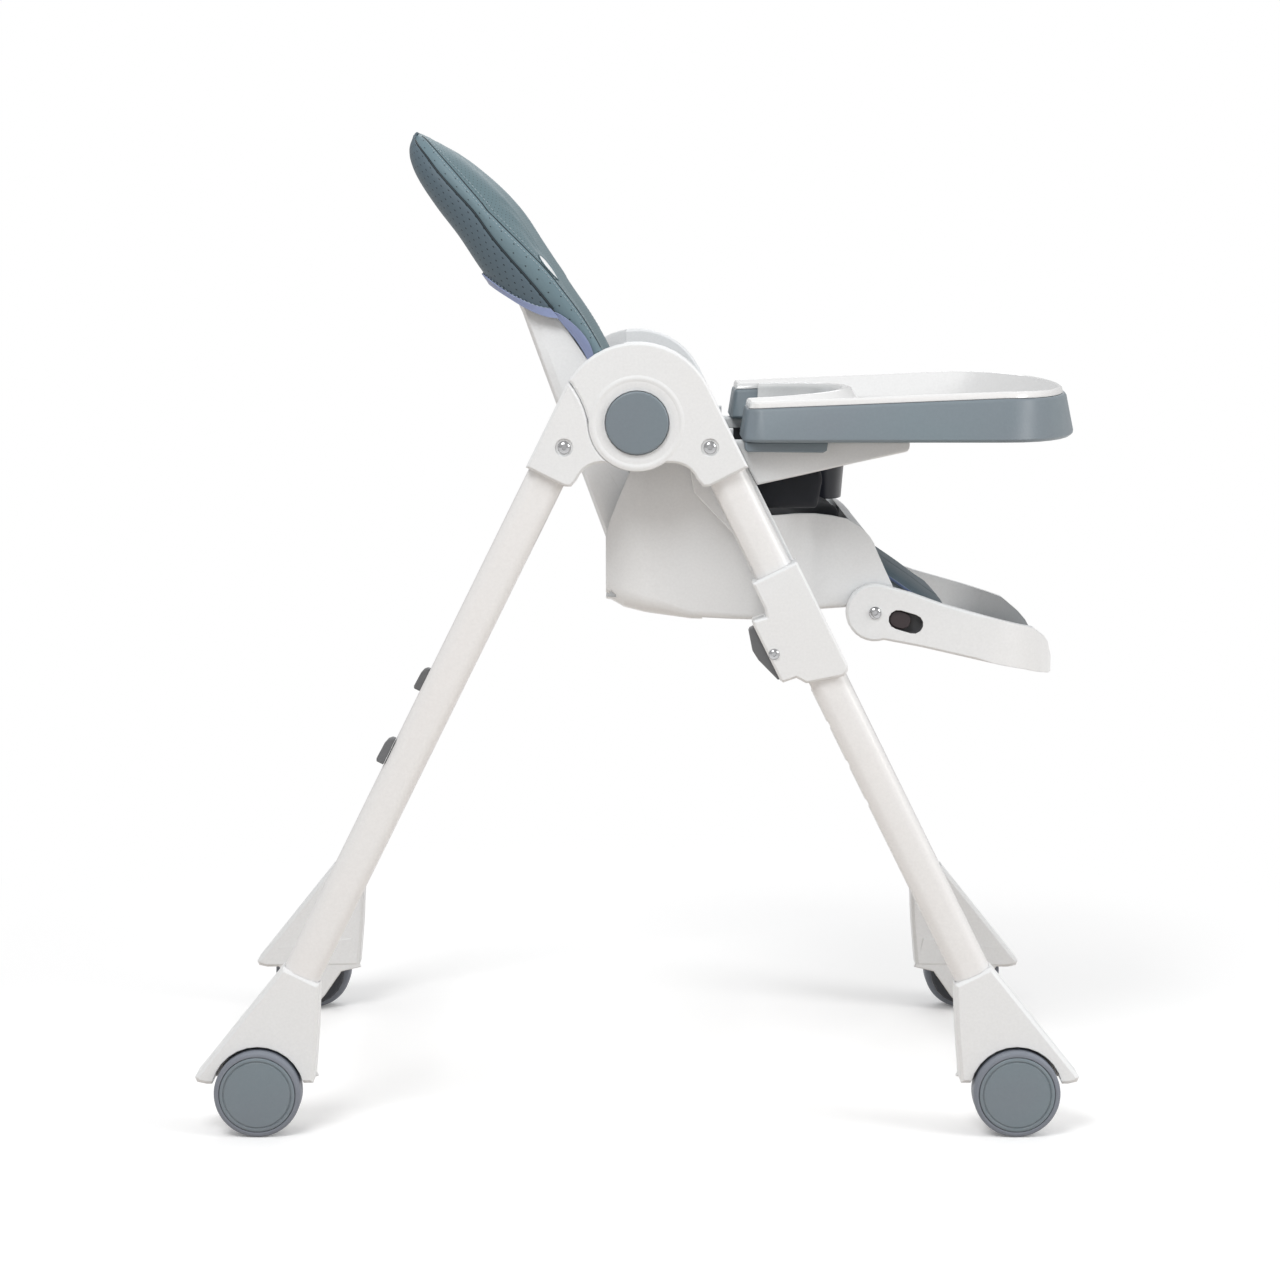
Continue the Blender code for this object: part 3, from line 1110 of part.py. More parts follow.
def tray_insert():
    """White food tray: it drops into the base and its lip stands on the rim."""
    gap = CLEARANCE
    wall = TRAY_DRAFT + RIM_WIDTH + 0.001 + gap
    seat = TRAY_DRAFT + 0.0015
    rings = [tray_ring(wall + 0.009, DISH_FLOOR - INSERT_WALL),
             tray_ring(wall + 0.005, TRAY_FLOOR + gap), tray_ring(wall + 0.001, TRAY_FLOOR + gap),
             tray_ring(wall, lambda x: rim_height(x) + gap),
             tray_ring(seat, lambda x: rim_height(x) + gap),
             tray_ring(seat + 0.001, lambda x: rim_height(x) + LIP_HEIGHT - 0.002),
             tray_ring(seat + 0.0035, lambda x: rim_height(x) + LIP_HEIGHT),
             tray_ring(seat + 0.0065, lambda x: rim_height(x) + LIP_HEIGHT - 0.0015),
             tray_ring(wall + 0.010, DISH_FLOOR + 0.003),
             tray_ring(wall + 0.014, DISH_FLOOR)]
    add("tray_insert", loft(rings), material("white_gloss", WHITE, 0.22), "tray_insert_body", 30)


def tray_guide(name, side):
    """Runner under the tray that hooks along an armrest's outer side."""
    top = TRAY_BOTTOM - CLEARANCE
    rear = TRAY_REAR + 0.0025
    outline = [(rear, top), (rear, top - 0.0067), (rear + 0.0025, top - 0.0089),
               (rear + 0.0705, top - 0.0097), (rear + 0.0740, top - 0.0077), (rear + 0.0750, top)]
    inner = ARM_OUTER + RUNNING_GAP
    runner = plate(outline, side * inner, side * (inner + GUIDE_WIDTH), 0.0008)
    add(name, runner, slate(), "tray")


def tray_release():
    """Pull bar under the tray's front edge."""
    top = TRAY_BOTTOM - CLEARANCE
    front = TRAY_FRONT - 0.031
    outline = [(front - 0.042, top), (front - 0.042, top - 0.0042), (front - 0.009, top - 0.0057),
               (front - 0.005, top - 0.0077), (front - 0.002, top - 0.0077),
               (front, top - 0.0057), (front, top)]
    half = RELEASE_HALF_WIDTH
    add("tray_release", plate(outline, -half, half, 0.0008), graphite(), "tray_release_body")


# ---------------------------------------------------------------- assembly
def main():
    for obj in list(bpy.data.objects):
        bpy.data.objects.remove(obj, do_unlink=True)
    chair = bpy.data.objects.new("chair", None)
    bpy.context.collection.objects.link(chair)
    chair.location = (ORIGIN_SHIFT, 0, 0)
    EMPTIES["chair"] = (chair, Vector((0, 0, 0)))
    hub = (0, 0, HUB_HEIGHT)
    body("rear_frame", hub)
    body("seat", (0, 0, 0))
    body("backrest", (RECLINE_X, 0, RECLINE_Z), "seat")
    handle_x, handle_z = back_point(HANDLE_LOW, BACK_REAR)
    body("recline_handle_body", (handle_x, 0, handle_z), "backrest")
    body("footrest", (FOOTREST_X, 0, FOOTREST_Z), "seat")
    body("tray", (0, 0, TRAY_BOTTOM), "seat")
    body("tray_insert_body", (0, 0, TRAY_BOTTOM), "tray")
    body("tray_release_body", (0, 0, TRAY_BOTTOM), "tray")

    for key, side in SIDES.items():
        y = side * HUB_OUTER
        leg_tube(f"front_leg_{key}", FRONT, side, "chair")
        leg_tube(f"rear_leg_{key}", REAR, side, "rear_frame")
        front_hub(f"front_hub_{key}", side)
        rear_hub(f"rear_hub_{key}", side)
        fold_disc(f"fold_disc_{key}", side)
        hub_pivot(f"hub_pivot_{key}", side)
        body(f"button_{key}", (0, y, HUB_HEIGHT))
        hub_button(f"fold_button_{key}", side, f"button_{key}")
        storage_peg(f"storage_peg_{key}", side)
        for end, word, carrier in ((FRONT, "front", "chair"), (REAR, "rear", "rear_frame")):
            corner = f"{word}_{key}"
            foot(f"{word}_foot_{key}", end, side, carrier)
            body(f"wheel_body_{corner}", (end * WHEEL_X, side * LEG_Y, WHEEL_RADIUS), carrier)
            wheel_parts(corner, end, side, carrier, f"wheel_body_{corner}")
        height_sleeve(f"height_sleeve_{key}", side)
        pin_x, pin_z = lever_pivot()
        body(f"lever_{key}", (pin_x, side * LEG_Y, pin_z), "seat")
        height_lever(f"height_lever_{key}", side, f"lever_{key}")
        armrest(f"armrest_{key}", side)
        side_wing(f"side_wing_{key}", side)
        slot_x, slot_z = slot_centre()
        body(f"latch_{key}", (slot_x, side * FOOTREST_OUTER, slot_z), "footrest")
        footrest_latch(f"footrest_latch_{key}", side, f"latch_{key}")
        tray_guide(f"tray_guide_{key}", side)
    crossbar("front_crossbar", FRONT, "chair")
    crossbar("rear_crossbar", REAR, "rear_frame")
    seat_shell()
    seat_pad()
    crotch_post()
    back_shell()
    recline_handle()
    back_cover()
    footrest()
    leg_pad()
    tray_base()
    tray_insert()
    tray_release()


main()
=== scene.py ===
"""Looks of a folding high chair: moulded and painted finishes, rounded mouldings, the padded
leatherette cover with its seams, the seat cushions, and the small fasteners.

Metres. +X is the front of the chair, +Y the child's left, the floor is at z = 0.
"""

import json
import math

import bmesh
import bpy
from mathutils import Matrix, Vector
from mathutils.bvhtree import BVHTree

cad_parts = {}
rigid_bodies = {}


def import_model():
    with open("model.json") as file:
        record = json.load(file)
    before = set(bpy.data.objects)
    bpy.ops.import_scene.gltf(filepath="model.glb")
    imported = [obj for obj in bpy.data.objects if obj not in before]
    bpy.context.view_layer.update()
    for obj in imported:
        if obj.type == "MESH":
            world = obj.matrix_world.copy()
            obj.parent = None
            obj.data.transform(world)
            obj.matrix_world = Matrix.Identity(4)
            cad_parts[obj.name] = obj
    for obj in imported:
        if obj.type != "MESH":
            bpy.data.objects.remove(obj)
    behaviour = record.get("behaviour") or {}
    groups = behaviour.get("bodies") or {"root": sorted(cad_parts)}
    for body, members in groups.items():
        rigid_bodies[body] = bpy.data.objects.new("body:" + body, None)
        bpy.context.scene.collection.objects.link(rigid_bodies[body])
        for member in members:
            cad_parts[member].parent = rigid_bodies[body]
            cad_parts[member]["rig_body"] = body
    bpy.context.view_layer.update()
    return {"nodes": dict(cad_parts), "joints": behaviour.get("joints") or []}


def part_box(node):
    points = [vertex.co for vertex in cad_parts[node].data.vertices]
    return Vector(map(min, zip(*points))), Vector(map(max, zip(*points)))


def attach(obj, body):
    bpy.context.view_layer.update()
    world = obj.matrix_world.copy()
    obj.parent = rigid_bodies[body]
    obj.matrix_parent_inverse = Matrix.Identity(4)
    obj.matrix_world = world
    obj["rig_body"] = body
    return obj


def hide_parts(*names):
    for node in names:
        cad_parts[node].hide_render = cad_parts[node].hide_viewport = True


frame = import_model()
NODES = frame["nodes"]
JOINTS = {j["name"]: j for j in frame["joints"]}
SIDES = {"l": 1, "r": -1}
ENDS = {"front": 1, "rear": -1}


# ---------- places read from the frame
HUB = Vector(JOINTS["frame_fold"]["pos_m"])
RECLINE = Vector(JOINTS["backrest_recline"]["pos_m"])
ANKLE = Vector(JOINTS["footrest_angle"]["pos_m"])
MIDDLE_X = HUB.x
BACK_LEAN = math.radians(20.4)
BACK_SIN, BACK_COS = math.sin(BACK_LEAN), math.cos(BACK_LEAN)
WHEEL_RADIUS = 0.040
WHEEL_X = 0.349


def place(x, y, z):
    """A point of the chair, whose own x starts at the hubs' axis."""
    return Vector((MIDDLE_X + x, y, z))


def back_point(u, y, n):
    """Point u up the backrest, y to the side and n forward of the recline axis."""
    return Vector((RECLINE.x - u * BACK_SIN + n * BACK_COS, y,
                   RECLINE.z + u * BACK_COS + n * BACK_SIN))


def back_place(point):
    """Height up the backrest and distance in front of its axis for a point."""
    dx, dz = point.x - RECLINE.x, point.z - RECLINE.z
    return dz * BACK_COS - dx * BACK_SIN, dx * BACK_COS + dz * BACK_SIN


# ---------- outlines
def spaced(low, high, count):
    """Evenly spaced values from low to high."""
    return [low + (high - low) * i / (count - 1) for i in range(count)]


def smooth_step(low, high, x):
    t = min(1.0, max(0.0, (x - low) / (high - low)))
    return t * t * (3 - 2 * t)


def curve_at(rows, t):
    """Point at t, from 0 to 1, on the line through rows."""
    at = t * (len(rows) - 1)
    k = min(int(at), len(rows) - 2)
    return tuple(a + (b - a) * (at - k) for a, b in zip(rows[k], rows[k + 1]))


def curve_through(points, count):
    """Evenly counted points on a smooth curve through the given ones (Catmull-Rom)."""
    rows = [Vector(p) for p in points]
    rows = [rows[0] * 2 - rows[1]] + rows + [rows[-1] * 2 - rows[-2]]
    spans = len(rows) - 3
    made = []
    for i in range(count):
        at = spans * i / (count - 1)
        k = min(int(at), spans - 1)
        t = at - k
        a, b, c, d = rows[k:k + 4]
        made.append(0.5 * (2 * b + (c - a) * t + (2 * a - 5 * b + 4 * c - d) * t * t
                           + (3 * b - a - 3 * c + d) * t * t * t))
    return made


def along(rows, x):
    """Value at x on a smooth curve through rows of (x, value)."""
    if x <= rows[0][0]:
        return rows[0][1]
    if x >= rows[-1][0]:
        return rows[-1][1]
    k = max(i for i in range(len(rows) - 1) if rows[i][0] <= x)

    def slope(i):
        a, b = rows[max(0, i - 1)], rows[min(len(rows) - 1, i + 1)]
        return (b[1] - a[1]) / (b[0] - a[0])

    (x0, v0), (x1, v1) = rows[k], rows[k + 1]
    h = x1 - x0
    t = (x - x0) / h
    return ((2 * t ** 3 - 3 * t ** 2 + 1) * v0 + (t ** 3 - 2 * t ** 2 + t) * slope(k) * h
            + (3 * t ** 2 - 2 * t ** 3) * v1 + (t ** 3 - t ** 2) * slope(k + 1) * h)


# ---------- node helpers
class Tree:
    """Shader tree whose nodes are made, set and linked in one call."""

    def __init__(self, owner):
        self.nodes, self.links = owner.nodes, owner.links
        self.nodes.clear()

    def fill(self, node, inputs):
        """Give a node's inputs their links or plain values."""
        for label, value in inputs.items():
            if isinstance(value, bpy.types.NodeSocket):
                self.links.new(value, node.inputs[label])
            elif value is not None:
                node.inputs[label].default_value = value

    def add(self, kind, inputs=None, **settings):
        """New node; its settings come first, because they decide which inputs count."""
        node = self.nodes.new("ShaderNode" + kind)
        for label, value in settings.items():
            setattr(node, label, value)
        self.fill(node, inputs or {})
        return node

    def math(self, operation, a, b=None, c=None, clamp=False):
        node = self.add("Math", {0: a, 1: b, 2: c}, operation=operation, use_clamp=clamp)
        return node.outputs[0]

    def mix(self, factor, a, b):
        """Colour between a and b, each a socket or plain red, green and blue."""
        a, b = ((*tone, 1.0) if isinstance(tone, tuple) else tone for tone in (a, b))
        return self.add("Mix", {0: factor, 6: a, 7: b}, data_type="RGBA").outputs[2]

    def noise(self, coordinates, scale, detail, roughness=0.5):
        return self.add("TexNoise", {"Vector": coordinates, "Scale": scale, "Detail": detail,
                                     "Roughness": roughness}).outputs["Fac"]

    def object_place(self):
        return self.add("TexCoord").outputs["Object"]

    def bump(self, shader, height, distance, strength, normal=None):
        node = self.add("Bump", {"Strength": strength, "Distance": distance, "Height": height,
                                 "Normal": normal})
        self.fill(shader, {"Normal": node.outputs[0]})


def group(name, inputs, outputs):
    """Empty shader group: the group, its tree, its given values and its output node."""
    made = bpy.data.node_groups.new(name, "ShaderNodeTree")
    for label, default in inputs.items():
        kind = "NodeSocketColor" if isinstance(default, tuple) else "NodeSocketFloat"
        socket = made.interface.new_socket(label, in_out="INPUT", socket_type=kind)
        socket.default_value = default
    for label, kind in outputs.items():
        made.interface.new_socket(label, in_out="OUTPUT", socket_type="NodeSocket" + kind)
    tree = Tree(made)
    given = tree.nodes.new("NodeGroupInput").outputs
    return made, tree, given, tree.nodes.new("NodeGroupOutput")


# ---------- shared effects
PEBBLES_PER_METRE = 900.0
RUBBED_RADIUS = 0.0012
DUST = (0.62, 0.60, 0.57)
# Near-black of the punched holes: painted shade inside them.
HOLE_SHADE_COLOUR = (0.012, 0.018, 0.022)


def moulded_surface():
    """Fine spark-eroded grain and slow tone drift of a moulding."""
    made, tree, given, result = group(
        "moulded_surface",
        {"Colour": (0.8, 0.8, 0.8, 1), "Tint": (0.8, 0.7, 0.6, 1), "Tint amount": 0.1,
         "Grain scale": 1800.0, "Roughness": 0.4},
        {"Colour": "Color", "Roughness": "Float", "Height": "Float"})
    spot = tree.object_place()
    drift = tree.math("SUBTRACT", tree.noise(spot, 9.0, 2.0), 0.35, clamp=True)
    drift = tree.math("MULTIPLY", drift, 2.4, clamp=True)
    amount = tree.math("MULTIPLY", drift, given["Tint amount"])
    speck = tree.math("MULTIPLY_ADD", tree.noise(spot, 420.0, 2.0), 0.10, 0.95)
    tinted = tree.mix(amount, given["Colour"], given["Tint"])
    scaled = tree.add("VectorMath", {0: tinted, "Scale": speck}, operation="SCALE")
    broad = tree.noise(spot, 60.0, 3.0)
    rough = tree.math("MULTIPLY_ADD", broad, 0.12, given["Roughness"])
    tree.fill(result, {"Colour": scaled.outputs[0],
                       "Roughness": tree.math("SUBTRACT", rough, 0.06),
                       "Height": tree.noise(spot, given["Grain scale"], 2.0, 0.6)})
    return made


def edge_wear():
    """Mask of thin rubbed edges and of the dust that settles on upward faces."""
    made, tree, given, result = group("edge_wear", {"Radius": 0.0015, "Strength": 1.0},
                                      {"Edge": "Float", "Dust": "Float", "Normal": "Vector"})
    bevel = tree.add("Bevel", {"Radius": given["Radius"]}, samples=4).outputs[0]
    normal = tree.add("NewGeometry").outputs["Normal"]
    dot = tree.add("VectorMath", {0: bevel, 1: normal}, operation="DOT_PRODUCT")
    turned_away = tree.math("SUBTRACT", 1.0, dot.outputs["Value"], clamp=True)
    edge = tree.math("MULTIPLY", turned_away, 4.0, clamp=True)
    spot = tree.object_place()
    patches = tree.math("GREATER_THAN", tree.noise(spot, 55.0, 4.0), 0.47)
    edge = tree.math("MULTIPLY", edge, patches)
    edge = tree.math("MULTIPLY", edge, given["Strength"], clamp=True)
    up = tree.add("SeparateXYZ", {0: normal}).outputs["Z"]
    up = tree.math("MULTIPLY_ADD", up, 2.0, -1.2, clamp=True)
    dust = tree.math("MULTIPLY", up, tree.noise(spot, 160.0, 5.0, 0.7))
    tree.fill(result, {"Edge": edge, "Dust": dust, "Normal": bevel})
    return made


def leather_surface():
    """Pebbled leatherette: cells with fine creases between them, and a slow tone drift."""
    made, tree, given, result = group(
        "leather_surface",
        {"Colour": (0.2, 0.3, 0.3, 1), "Dark": (0.1, 0.2, 0.2, 1)},
        {"Colour": "Color", "Roughness": "Float", "Height": "Float"})
    spot = tree.object_place()
    cells = tree.add("TexVoronoi", {"Vector": spot, "Scale": PEBBLES_PER_METRE},
                     feature="DISTANCE_TO_EDGE")
    crease = tree.math("MULTIPLY", cells.outputs["Distance"], 3.0, clamp=True)
    drift = tree.math("MULTIPLY_ADD", tree.noise(spot, 14.0, 4.0), 0.9, -0.15, clamp=True)
    # Painted shade: the creases between the pebbles are darker; the drift added next is random
    # tone.
    shade = tree.math("MULTIPLY_ADD", crease, -0.25, 0.45)
    shade = tree.math("ADD", shade, drift, clamp=True)
    tree.fill(result, {"Colour": tree.mix(shade, given["Colour"], given["Dark"]),
                       "Roughness": tree.math("MULTIPLY_ADD", crease, -0.12, 0.58),
                       "Height": crease})
    return made


def woven_surface():
    """Plain weave: crossing threads with a little slub."""
    made, tree, given, result = group(
        "woven_surface",
        {"Colour": (0.1, 0.1, 0.1, 1), "Shade": (0.05, 0.05, 0.05, 1),
         "Threads per metre": 1500.0},
        {"Colour": "Color", "Height": "Float"})
    spot = tree.object_place()
    split = tree.add("SeparateXYZ", {0: spot}).outputs
    turns = tree.math("MULTIPLY", given["Threads per metre"], math.pi)
    across = tree.math("MULTIPLY", split["Y"], turns)
    leant = tree.math("SUBTRACT", split["Z"], split["X"])
    warp = tree.math("SINE", across)
    weft = tree.math("SINE", tree.math("MULTIPLY", leant, turns))
    height = tree.math("MULTIPLY_ADD", tree.math("MULTIPLY", warp, weft), 0.5, 0.5)
    # Painted shade: the threads are darker where they dip under the crossing ones; the noise added
    # next is random slub.
    shade = tree.math("MULTIPLY_ADD", height, 0.45, 0.0)
    shade = tree.math("MULTIPLY_ADD", tree.noise(spot, 120.0, 4.0), 0.6, shade, clamp=True)
    tree.fill(result, {"Colour": tree.mix(shade, given["Shade"], given["Colour"]),
                       "Height": height})
    return made


GROUPS = {"moulded": moulded_surface(), "wear": edge_wear(), "leather": leather_surface(),
          "woven": woven_surface()}


def placed(tree, name, **values):
    """Outputs of a shared effect, placed in a material with its own values."""
    inputs = {label.replace("_", " "): value for label, value in values.items()}
    return tree.add("Group", inputs, node_tree=GROUPS[name]).outputs


# ---------- finishes
def shader_in(material_name):
    made = bpy.data.materials.new(material_name)
    made.use_nodes = True
    tree = Tree(made.node_tree)
    shader = tree.add("BsdfPrincipled")
    tree.add("OutputMaterial", {"Surface": shader.outputs[0]})
    return made, tree, shader


def moulding(name, colour, tint, tint_amount, roughness, grain=1800.0, depth=0.00003, coat=0.0,
             worn=(0.9, 0.9, 0.9), wear=0.25):
    """Injection-moulded plastic with softened edges."""
    made, tree, shader = shader_in(name)
    surface = placed(tree, "moulded", Colour=(*colour, 1), Tint=(*tint, 1),
                     Tint_amount=tint_amount, Grain_scale=grain, Roughness=roughness)
    rubbed = placed(tree, "wear", Radius=RUBBED_RADIUS, Strength=wear)
    tone = tree.mix(rubbed["Edge"], surface["Colour"], worn)
    tone = tree.mix(tree.math("MULTIPLY", rubbed["Dust"], 0.10), tone, DUST)
    tree.fill(shader, {"Base Color": tone, "Roughness": surface["Roughness"],
                       "Coat Weight": coat, "Coat Roughness": 0.12})
    tree.bump(shader, surface["Height"], depth, 0.5, rubbed["Normal"])
    return made


def polished_metal(name, colour, roughness):
    """Turned steel with fine lines and a few stains."""
    made, tree, shader = shader_in(name)
    spot = tree.object_place()
    stretch = tree.add("Mapping", {"Scale": (2600, 60, 2600), "Vector": spot})
    lines = tree.noise(stretch.outputs[0], 1.0, 2.0)
    stain = tree.noise(spot, 240.0, 4.0)
    tone = tree.mix(stain, tuple(c * 0.82 for c in colour), colour)
    rough = tree.math("MULTIPLY_ADD", lines, 0.14, roughness - 0.05)
    tree.fill(shader, {"Base Color": tone, "Roughness": rough, "Metallic": 1.0})
    tree.bump(shader, lines, 0.00002, 0.3)
    return made


def leatherette(name, colour, dark, holes=0.0, width=0.0, depth=0.00005):
    """Coated cloth; holes is the pitch of the punched rows in metres and width their size."""
    made, tree, shader = shader_in(name)
    surface = placed(tree, "leather", Colour=(*colour, 1), Dark=(*dark, 1))
    tone, height = surface["Colour"], surface["Height"]
    if holes:
        uv = tree.add("SeparateXYZ", {0: tree.add("UVMap").outputs[0]}).outputs
        row = tree.math("DIVIDE", uv["Y"], holes * 0.5)
        odd = tree.math("MODULO", tree.math("FLOOR", row), 2.0)
        column = tree.math("DIVIDE", uv["X"], holes)
        column = tree.math("MULTIPLY_ADD", odd, 0.5, column)
        du = tree.math("SUBTRACT", tree.math("FRACT", column), 0.5)
        dv = tree.math("SUBTRACT", tree.math("FRACT", row), 0.5)
        dv = tree.math("MULTIPLY", dv, 0.5)
        far = tree.math("MULTIPLY_ADD", dv, dv, tree.math("POWER", du, 2.0))
        hole = tree.math("LESS_THAN", tree.math("SQRT", far), width / 2 / holes)
        # The holes are painted near-black as the shade inside them, and sunk by the bump below.
        tone = tree.mix(hole, tone, HOLE_SHADE_COLOUR)
        height = tree.math("SUBTRACT", height, hole)
    tree.fill(shader, {"Base Color": tone, "Roughness": surface["Roughness"],
                       "Specular IOR Level": 0.35})
    tree.bump(shader, height, depth, 0.35)
    return made


def cloth(name, colour, shade, threads, sheen=0.3):
    """Woven lining, hem or piping."""
    made, tree, shader = shader_in(name)
    surface = placed(tree, "woven", Colour=(*colour, 1), Shade=(*shade, 1),
                     Threads_per_metre=threads)
    tree.fill(shader, {"Base Color": surface["Colour"], "Roughness": 0.85, "Sheen Weight": sheen})
    tree.bump(shader, surface["Height"], 0.00015, 0.5)
    return made


FINISH = {
    "white": moulding("white_moulding", (0.795, 0.812, 0.825), (0.80, 0.79, 0.785), 0.3, 0.34),
    "gloss": moulding("gloss_white_moulding", (0.79, 0.79, 0.79), (0.78, 0.775, 0.77), 0.2, 0.18,
                      grain=700.0, depth=0.00001, coat=0.4),
    "paint": moulding("painted_tube", (0.82, 0.822, 0.824), (0.82, 0.790, 0.780), 0.35, 0.32,
                      grain=900.0, depth=0.000008, coat=0.15, worn=(0.75, 0.74, 0.73), wear=0.0),
    "slate": moulding("slate_moulding", (0.185, 0.232, 0.262), (0.20, 0.205, 0.24), 0.5, 0.42,
                      worn=(0.42, 0.46, 0.48), wear=0.3),
    "graphite": moulding("graphite_moulding", (0.145, 0.150, 0.158), (0.15, 0.15, 0.16), 0.4, 0.46,
                         worn=(0.28, 0.29, 0.3), wear=0.35),
    "tread": moulding("tread_rubber", (0.205, 0.228, 0.27), (0.19, 0.20, 0.235), 0.5, 0.52,
                      grain=1200.0, depth=0.00006, worn=(0.34, 0.36, 0.39), wear=0.3),
    # Near-black inside of the footrest's latch slot: painted shade.
    "hollow": moulding("shaded_inside", (0.085, 0.087, 0.092), (0.05, 0.05, 0.055), 0.5, 0.6),
    # Near-black moulding: the wheel carriers' own colour, and on the crotch post painted shade.
    "dark": moulding("dark_and_shade_moulding", (0.013, 0.015, 0.021), (0.02, 0.022, 0.035), 0.5, 0.34,
                     worn=(0.05, 0.055, 0.065), wear=0.3),
    "knob": moulding("knob_moulding", (0.040, 0.028, 0.030), (0.03, 0.02, 0.024), 0.5, 0.36,
                     worn=(0.12, 0.12, 0.13), wear=0.35),
    "steel": polished_metal("turned_steel", (0.56, 0.56, 0.57), 0.16),
    "cover_front": leatherette("cover_leatherette", (0.150, 0.218, 0.242), (0.118, 0.180, 0.204),
                               holes=0.0048, width=0.0007, depth=0.00001),
    "cover_roll": leatherette("rolled_leatherette", (0.184, 0.264, 0.300), (0.146, 0.216, 0.250),
                              holes=0.0150, width=0.0014),
    "cover_punched": leatherette("punched_leatherette", (0.106, 0.150, 0.182),
                                 (0.086, 0.122, 0.150), holes=0.0125, width=0.0019),
    # Near-black tubes laid along the cover's fold and seam: painted shade of those grooves.
    "crease": leatherette("seam_crease_shade", (0.030, 0.042, 0.050), (0.02, 0.03, 0.036)),
    "flap": leatherette("flap_leatherette", (0.096, 0.132, 0.154), (0.068, 0.098, 0.120)),
    "lining": cloth("dark_lining", (0.014, 0.016, 0.022), (0.007, 0.008, 0.011), 1500.0, 0.08),
    "hem": cloth("hem_cloth", (0.30, 0.36, 0.58), (0.22, 0.27, 0.45), 2000.0, 0.5),
    "thread": cloth("thread", (0.40, 0.48, 0.52), (0.28, 0.35, 0.39), 3000.0),
    "blue_piping": cloth("blue_piping", (0.10, 0.14, 0.26), (0.06, 0.09, 0.17), 2500.0),
}

NODE_FINISHES = {
    "paint": ("front_leg", "rear_leg", "front_crossbar", "rear_crossbar"),
    "slate": ("fold_button", "tray_base", "tray_guide", "wheel_cap"),
    # The crotch post is slate plastic painted near-black as the shade under the tray; the wheel
    # carriers are dark plastic.
    "dark": ("crotch_post", "wheel_carrier"),
    "knob": ("footrest_latch",),
    "graphite": ("height_lever", "storage_peg", "recline_handle", "tray_release",
                 "fold_disc"),
    "gloss": ("tray_insert",),
    "steel": ("hub_pivot",),
    "tread": ("wheel_front", "wheel_rear"),
    "cover_front": ("back_cover",),
    "flap": ("leg_pad",),
    "lining": ("seat_pad", "side_wing"),
}


def finish_of(name):
    """What isn't named is white moulding."""
    found = [key for key, starts in NODE_FINISHES.items() if name.startswith(starts)]
    return found[-1] if found else "white"


def dress_nodes():
    """Every solid of the frame takes its finish."""
    for name, node in NODES.items():
        node.data.materials.clear()
        node.data.materials.append(FINISH[finish_of(name)])


# ---------- mesh helpers
EDGE_WIDTH = 0.0006
EDGE_ANGLE = 42
TUBE_SIDES = 8
CLOTH_FRAMES = 20
CLOTH_STIFFNESS = 12.0


def body_of(name):
    return NODES[name]["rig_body"]


def added(name, data):
    """New object in the scene."""
    obj = bpy.data.objects.new(name, data)
    bpy.context.scene.collection.objects.link(obj)
    return obj


def mesh_object(name, bm):
    mesh = bpy.data.meshes.new(name)
    bm.to_mesh(mesh)
    return added(name, mesh)


def discard(obj):
    mesh = obj.data
    bpy.data.objects.remove(obj)
    bpy.data.meshes.remove(mesh)


def shown_mesh(obj):
    """The mesh of an object as its modifiers leave it."""
    shown = obj.evaluated_get(bpy.context.evaluated_depsgraph_get())
    bm = bmesh.new()
    bm.from_mesh(shown.to_mesh())
    shown.to_mesh_clear()
    return bm


def tree_on(obj):
    """Finder of the nearest place on a piece as it is shown."""
    bm = shown_mesh(obj)
    found = BVHTree.FromBMesh(bm)
    bm.free()
    return found


def smoothed(bm, verts):
    for _ in range(3):
        bmesh.ops.smooth_vert(bm, verts=verts, factor=0.5, use_axis_x=True, use_axis_y=True,
                              use_axis_z=True)


def piece(name, bm, finish, body, smooth=60, replaced=(), levels=0, thickness=0.0):
    """Object from a mesh in the row frame, riding on a body; smooth is in degrees."""
    if thickness:
        bmesh.ops.solidify(bm, geom=bm.faces, thickness=thickness)
    bmesh.ops.recalc_face_normals(bm, faces=bm.faces)
    obj = mesh_object(name, bm)
    bm.free()
    obj.data.materials.append(FINISH[finish])
    obj.data.shade_smooth()
    obj.data.set_sharp_from_angle(angle=math.radians(smooth))
    if levels:
        finer = obj.modifiers.new("finer", "SUBSURF")
        finer.levels = levels
        finer.render_levels = levels
    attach(obj, body)
    if replaced:
        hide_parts(*replaced)
    return obj


def grid(columns, rows, point_at, uv_at=None, sewn_at=None, weld=False):
    """Surface over s and t, both from 0 to 1; sewn_at marks how firmly a point is held."""
    bm = bmesh.new()
    bmesh.ops.create_grid(bm, x_segments=columns, y_segments=rows, size=0.5)
    uv = bm.loops.layers.uv.new("UVMap")
    sewn = bm.verts.layers.float.new("sewn")
    spots = {v: (v.co.x + 0.5, v.co.y + 0.5) for v in bm.verts}
    for v, (s, t) in spots.items():
        v.co = point_at(s, t)
        v[sewn] = sewn_at(s, t) if sewn_at else 0.0
    if uv_at:
        for face in bm.faces:
            for loop in face.loops:
                loop[uv].uv = uv_at(*spots[loop.vert])
    if weld:
        bmesh.ops.remove_doubles(bm, verts=bm.verts, dist=2e-5)
    bmesh.ops.recalc_face_normals(bm, faces=bm.faces)
    return bm


def offset_point(point_at, s, t, distance):
    """Point of a surface moved out along its normal."""
    step = 0.004
    across = point_at(min(1, s + step), t) - point_at(max(0, s - step), t)
    up = point_at(s, min(1, t + step)) - point_at(s, max(0, t - step))
    normal = across.cross(up)
    if normal.length > 1e-12:
        normal.normalize()
    return point_at(s, t) + normal * distance


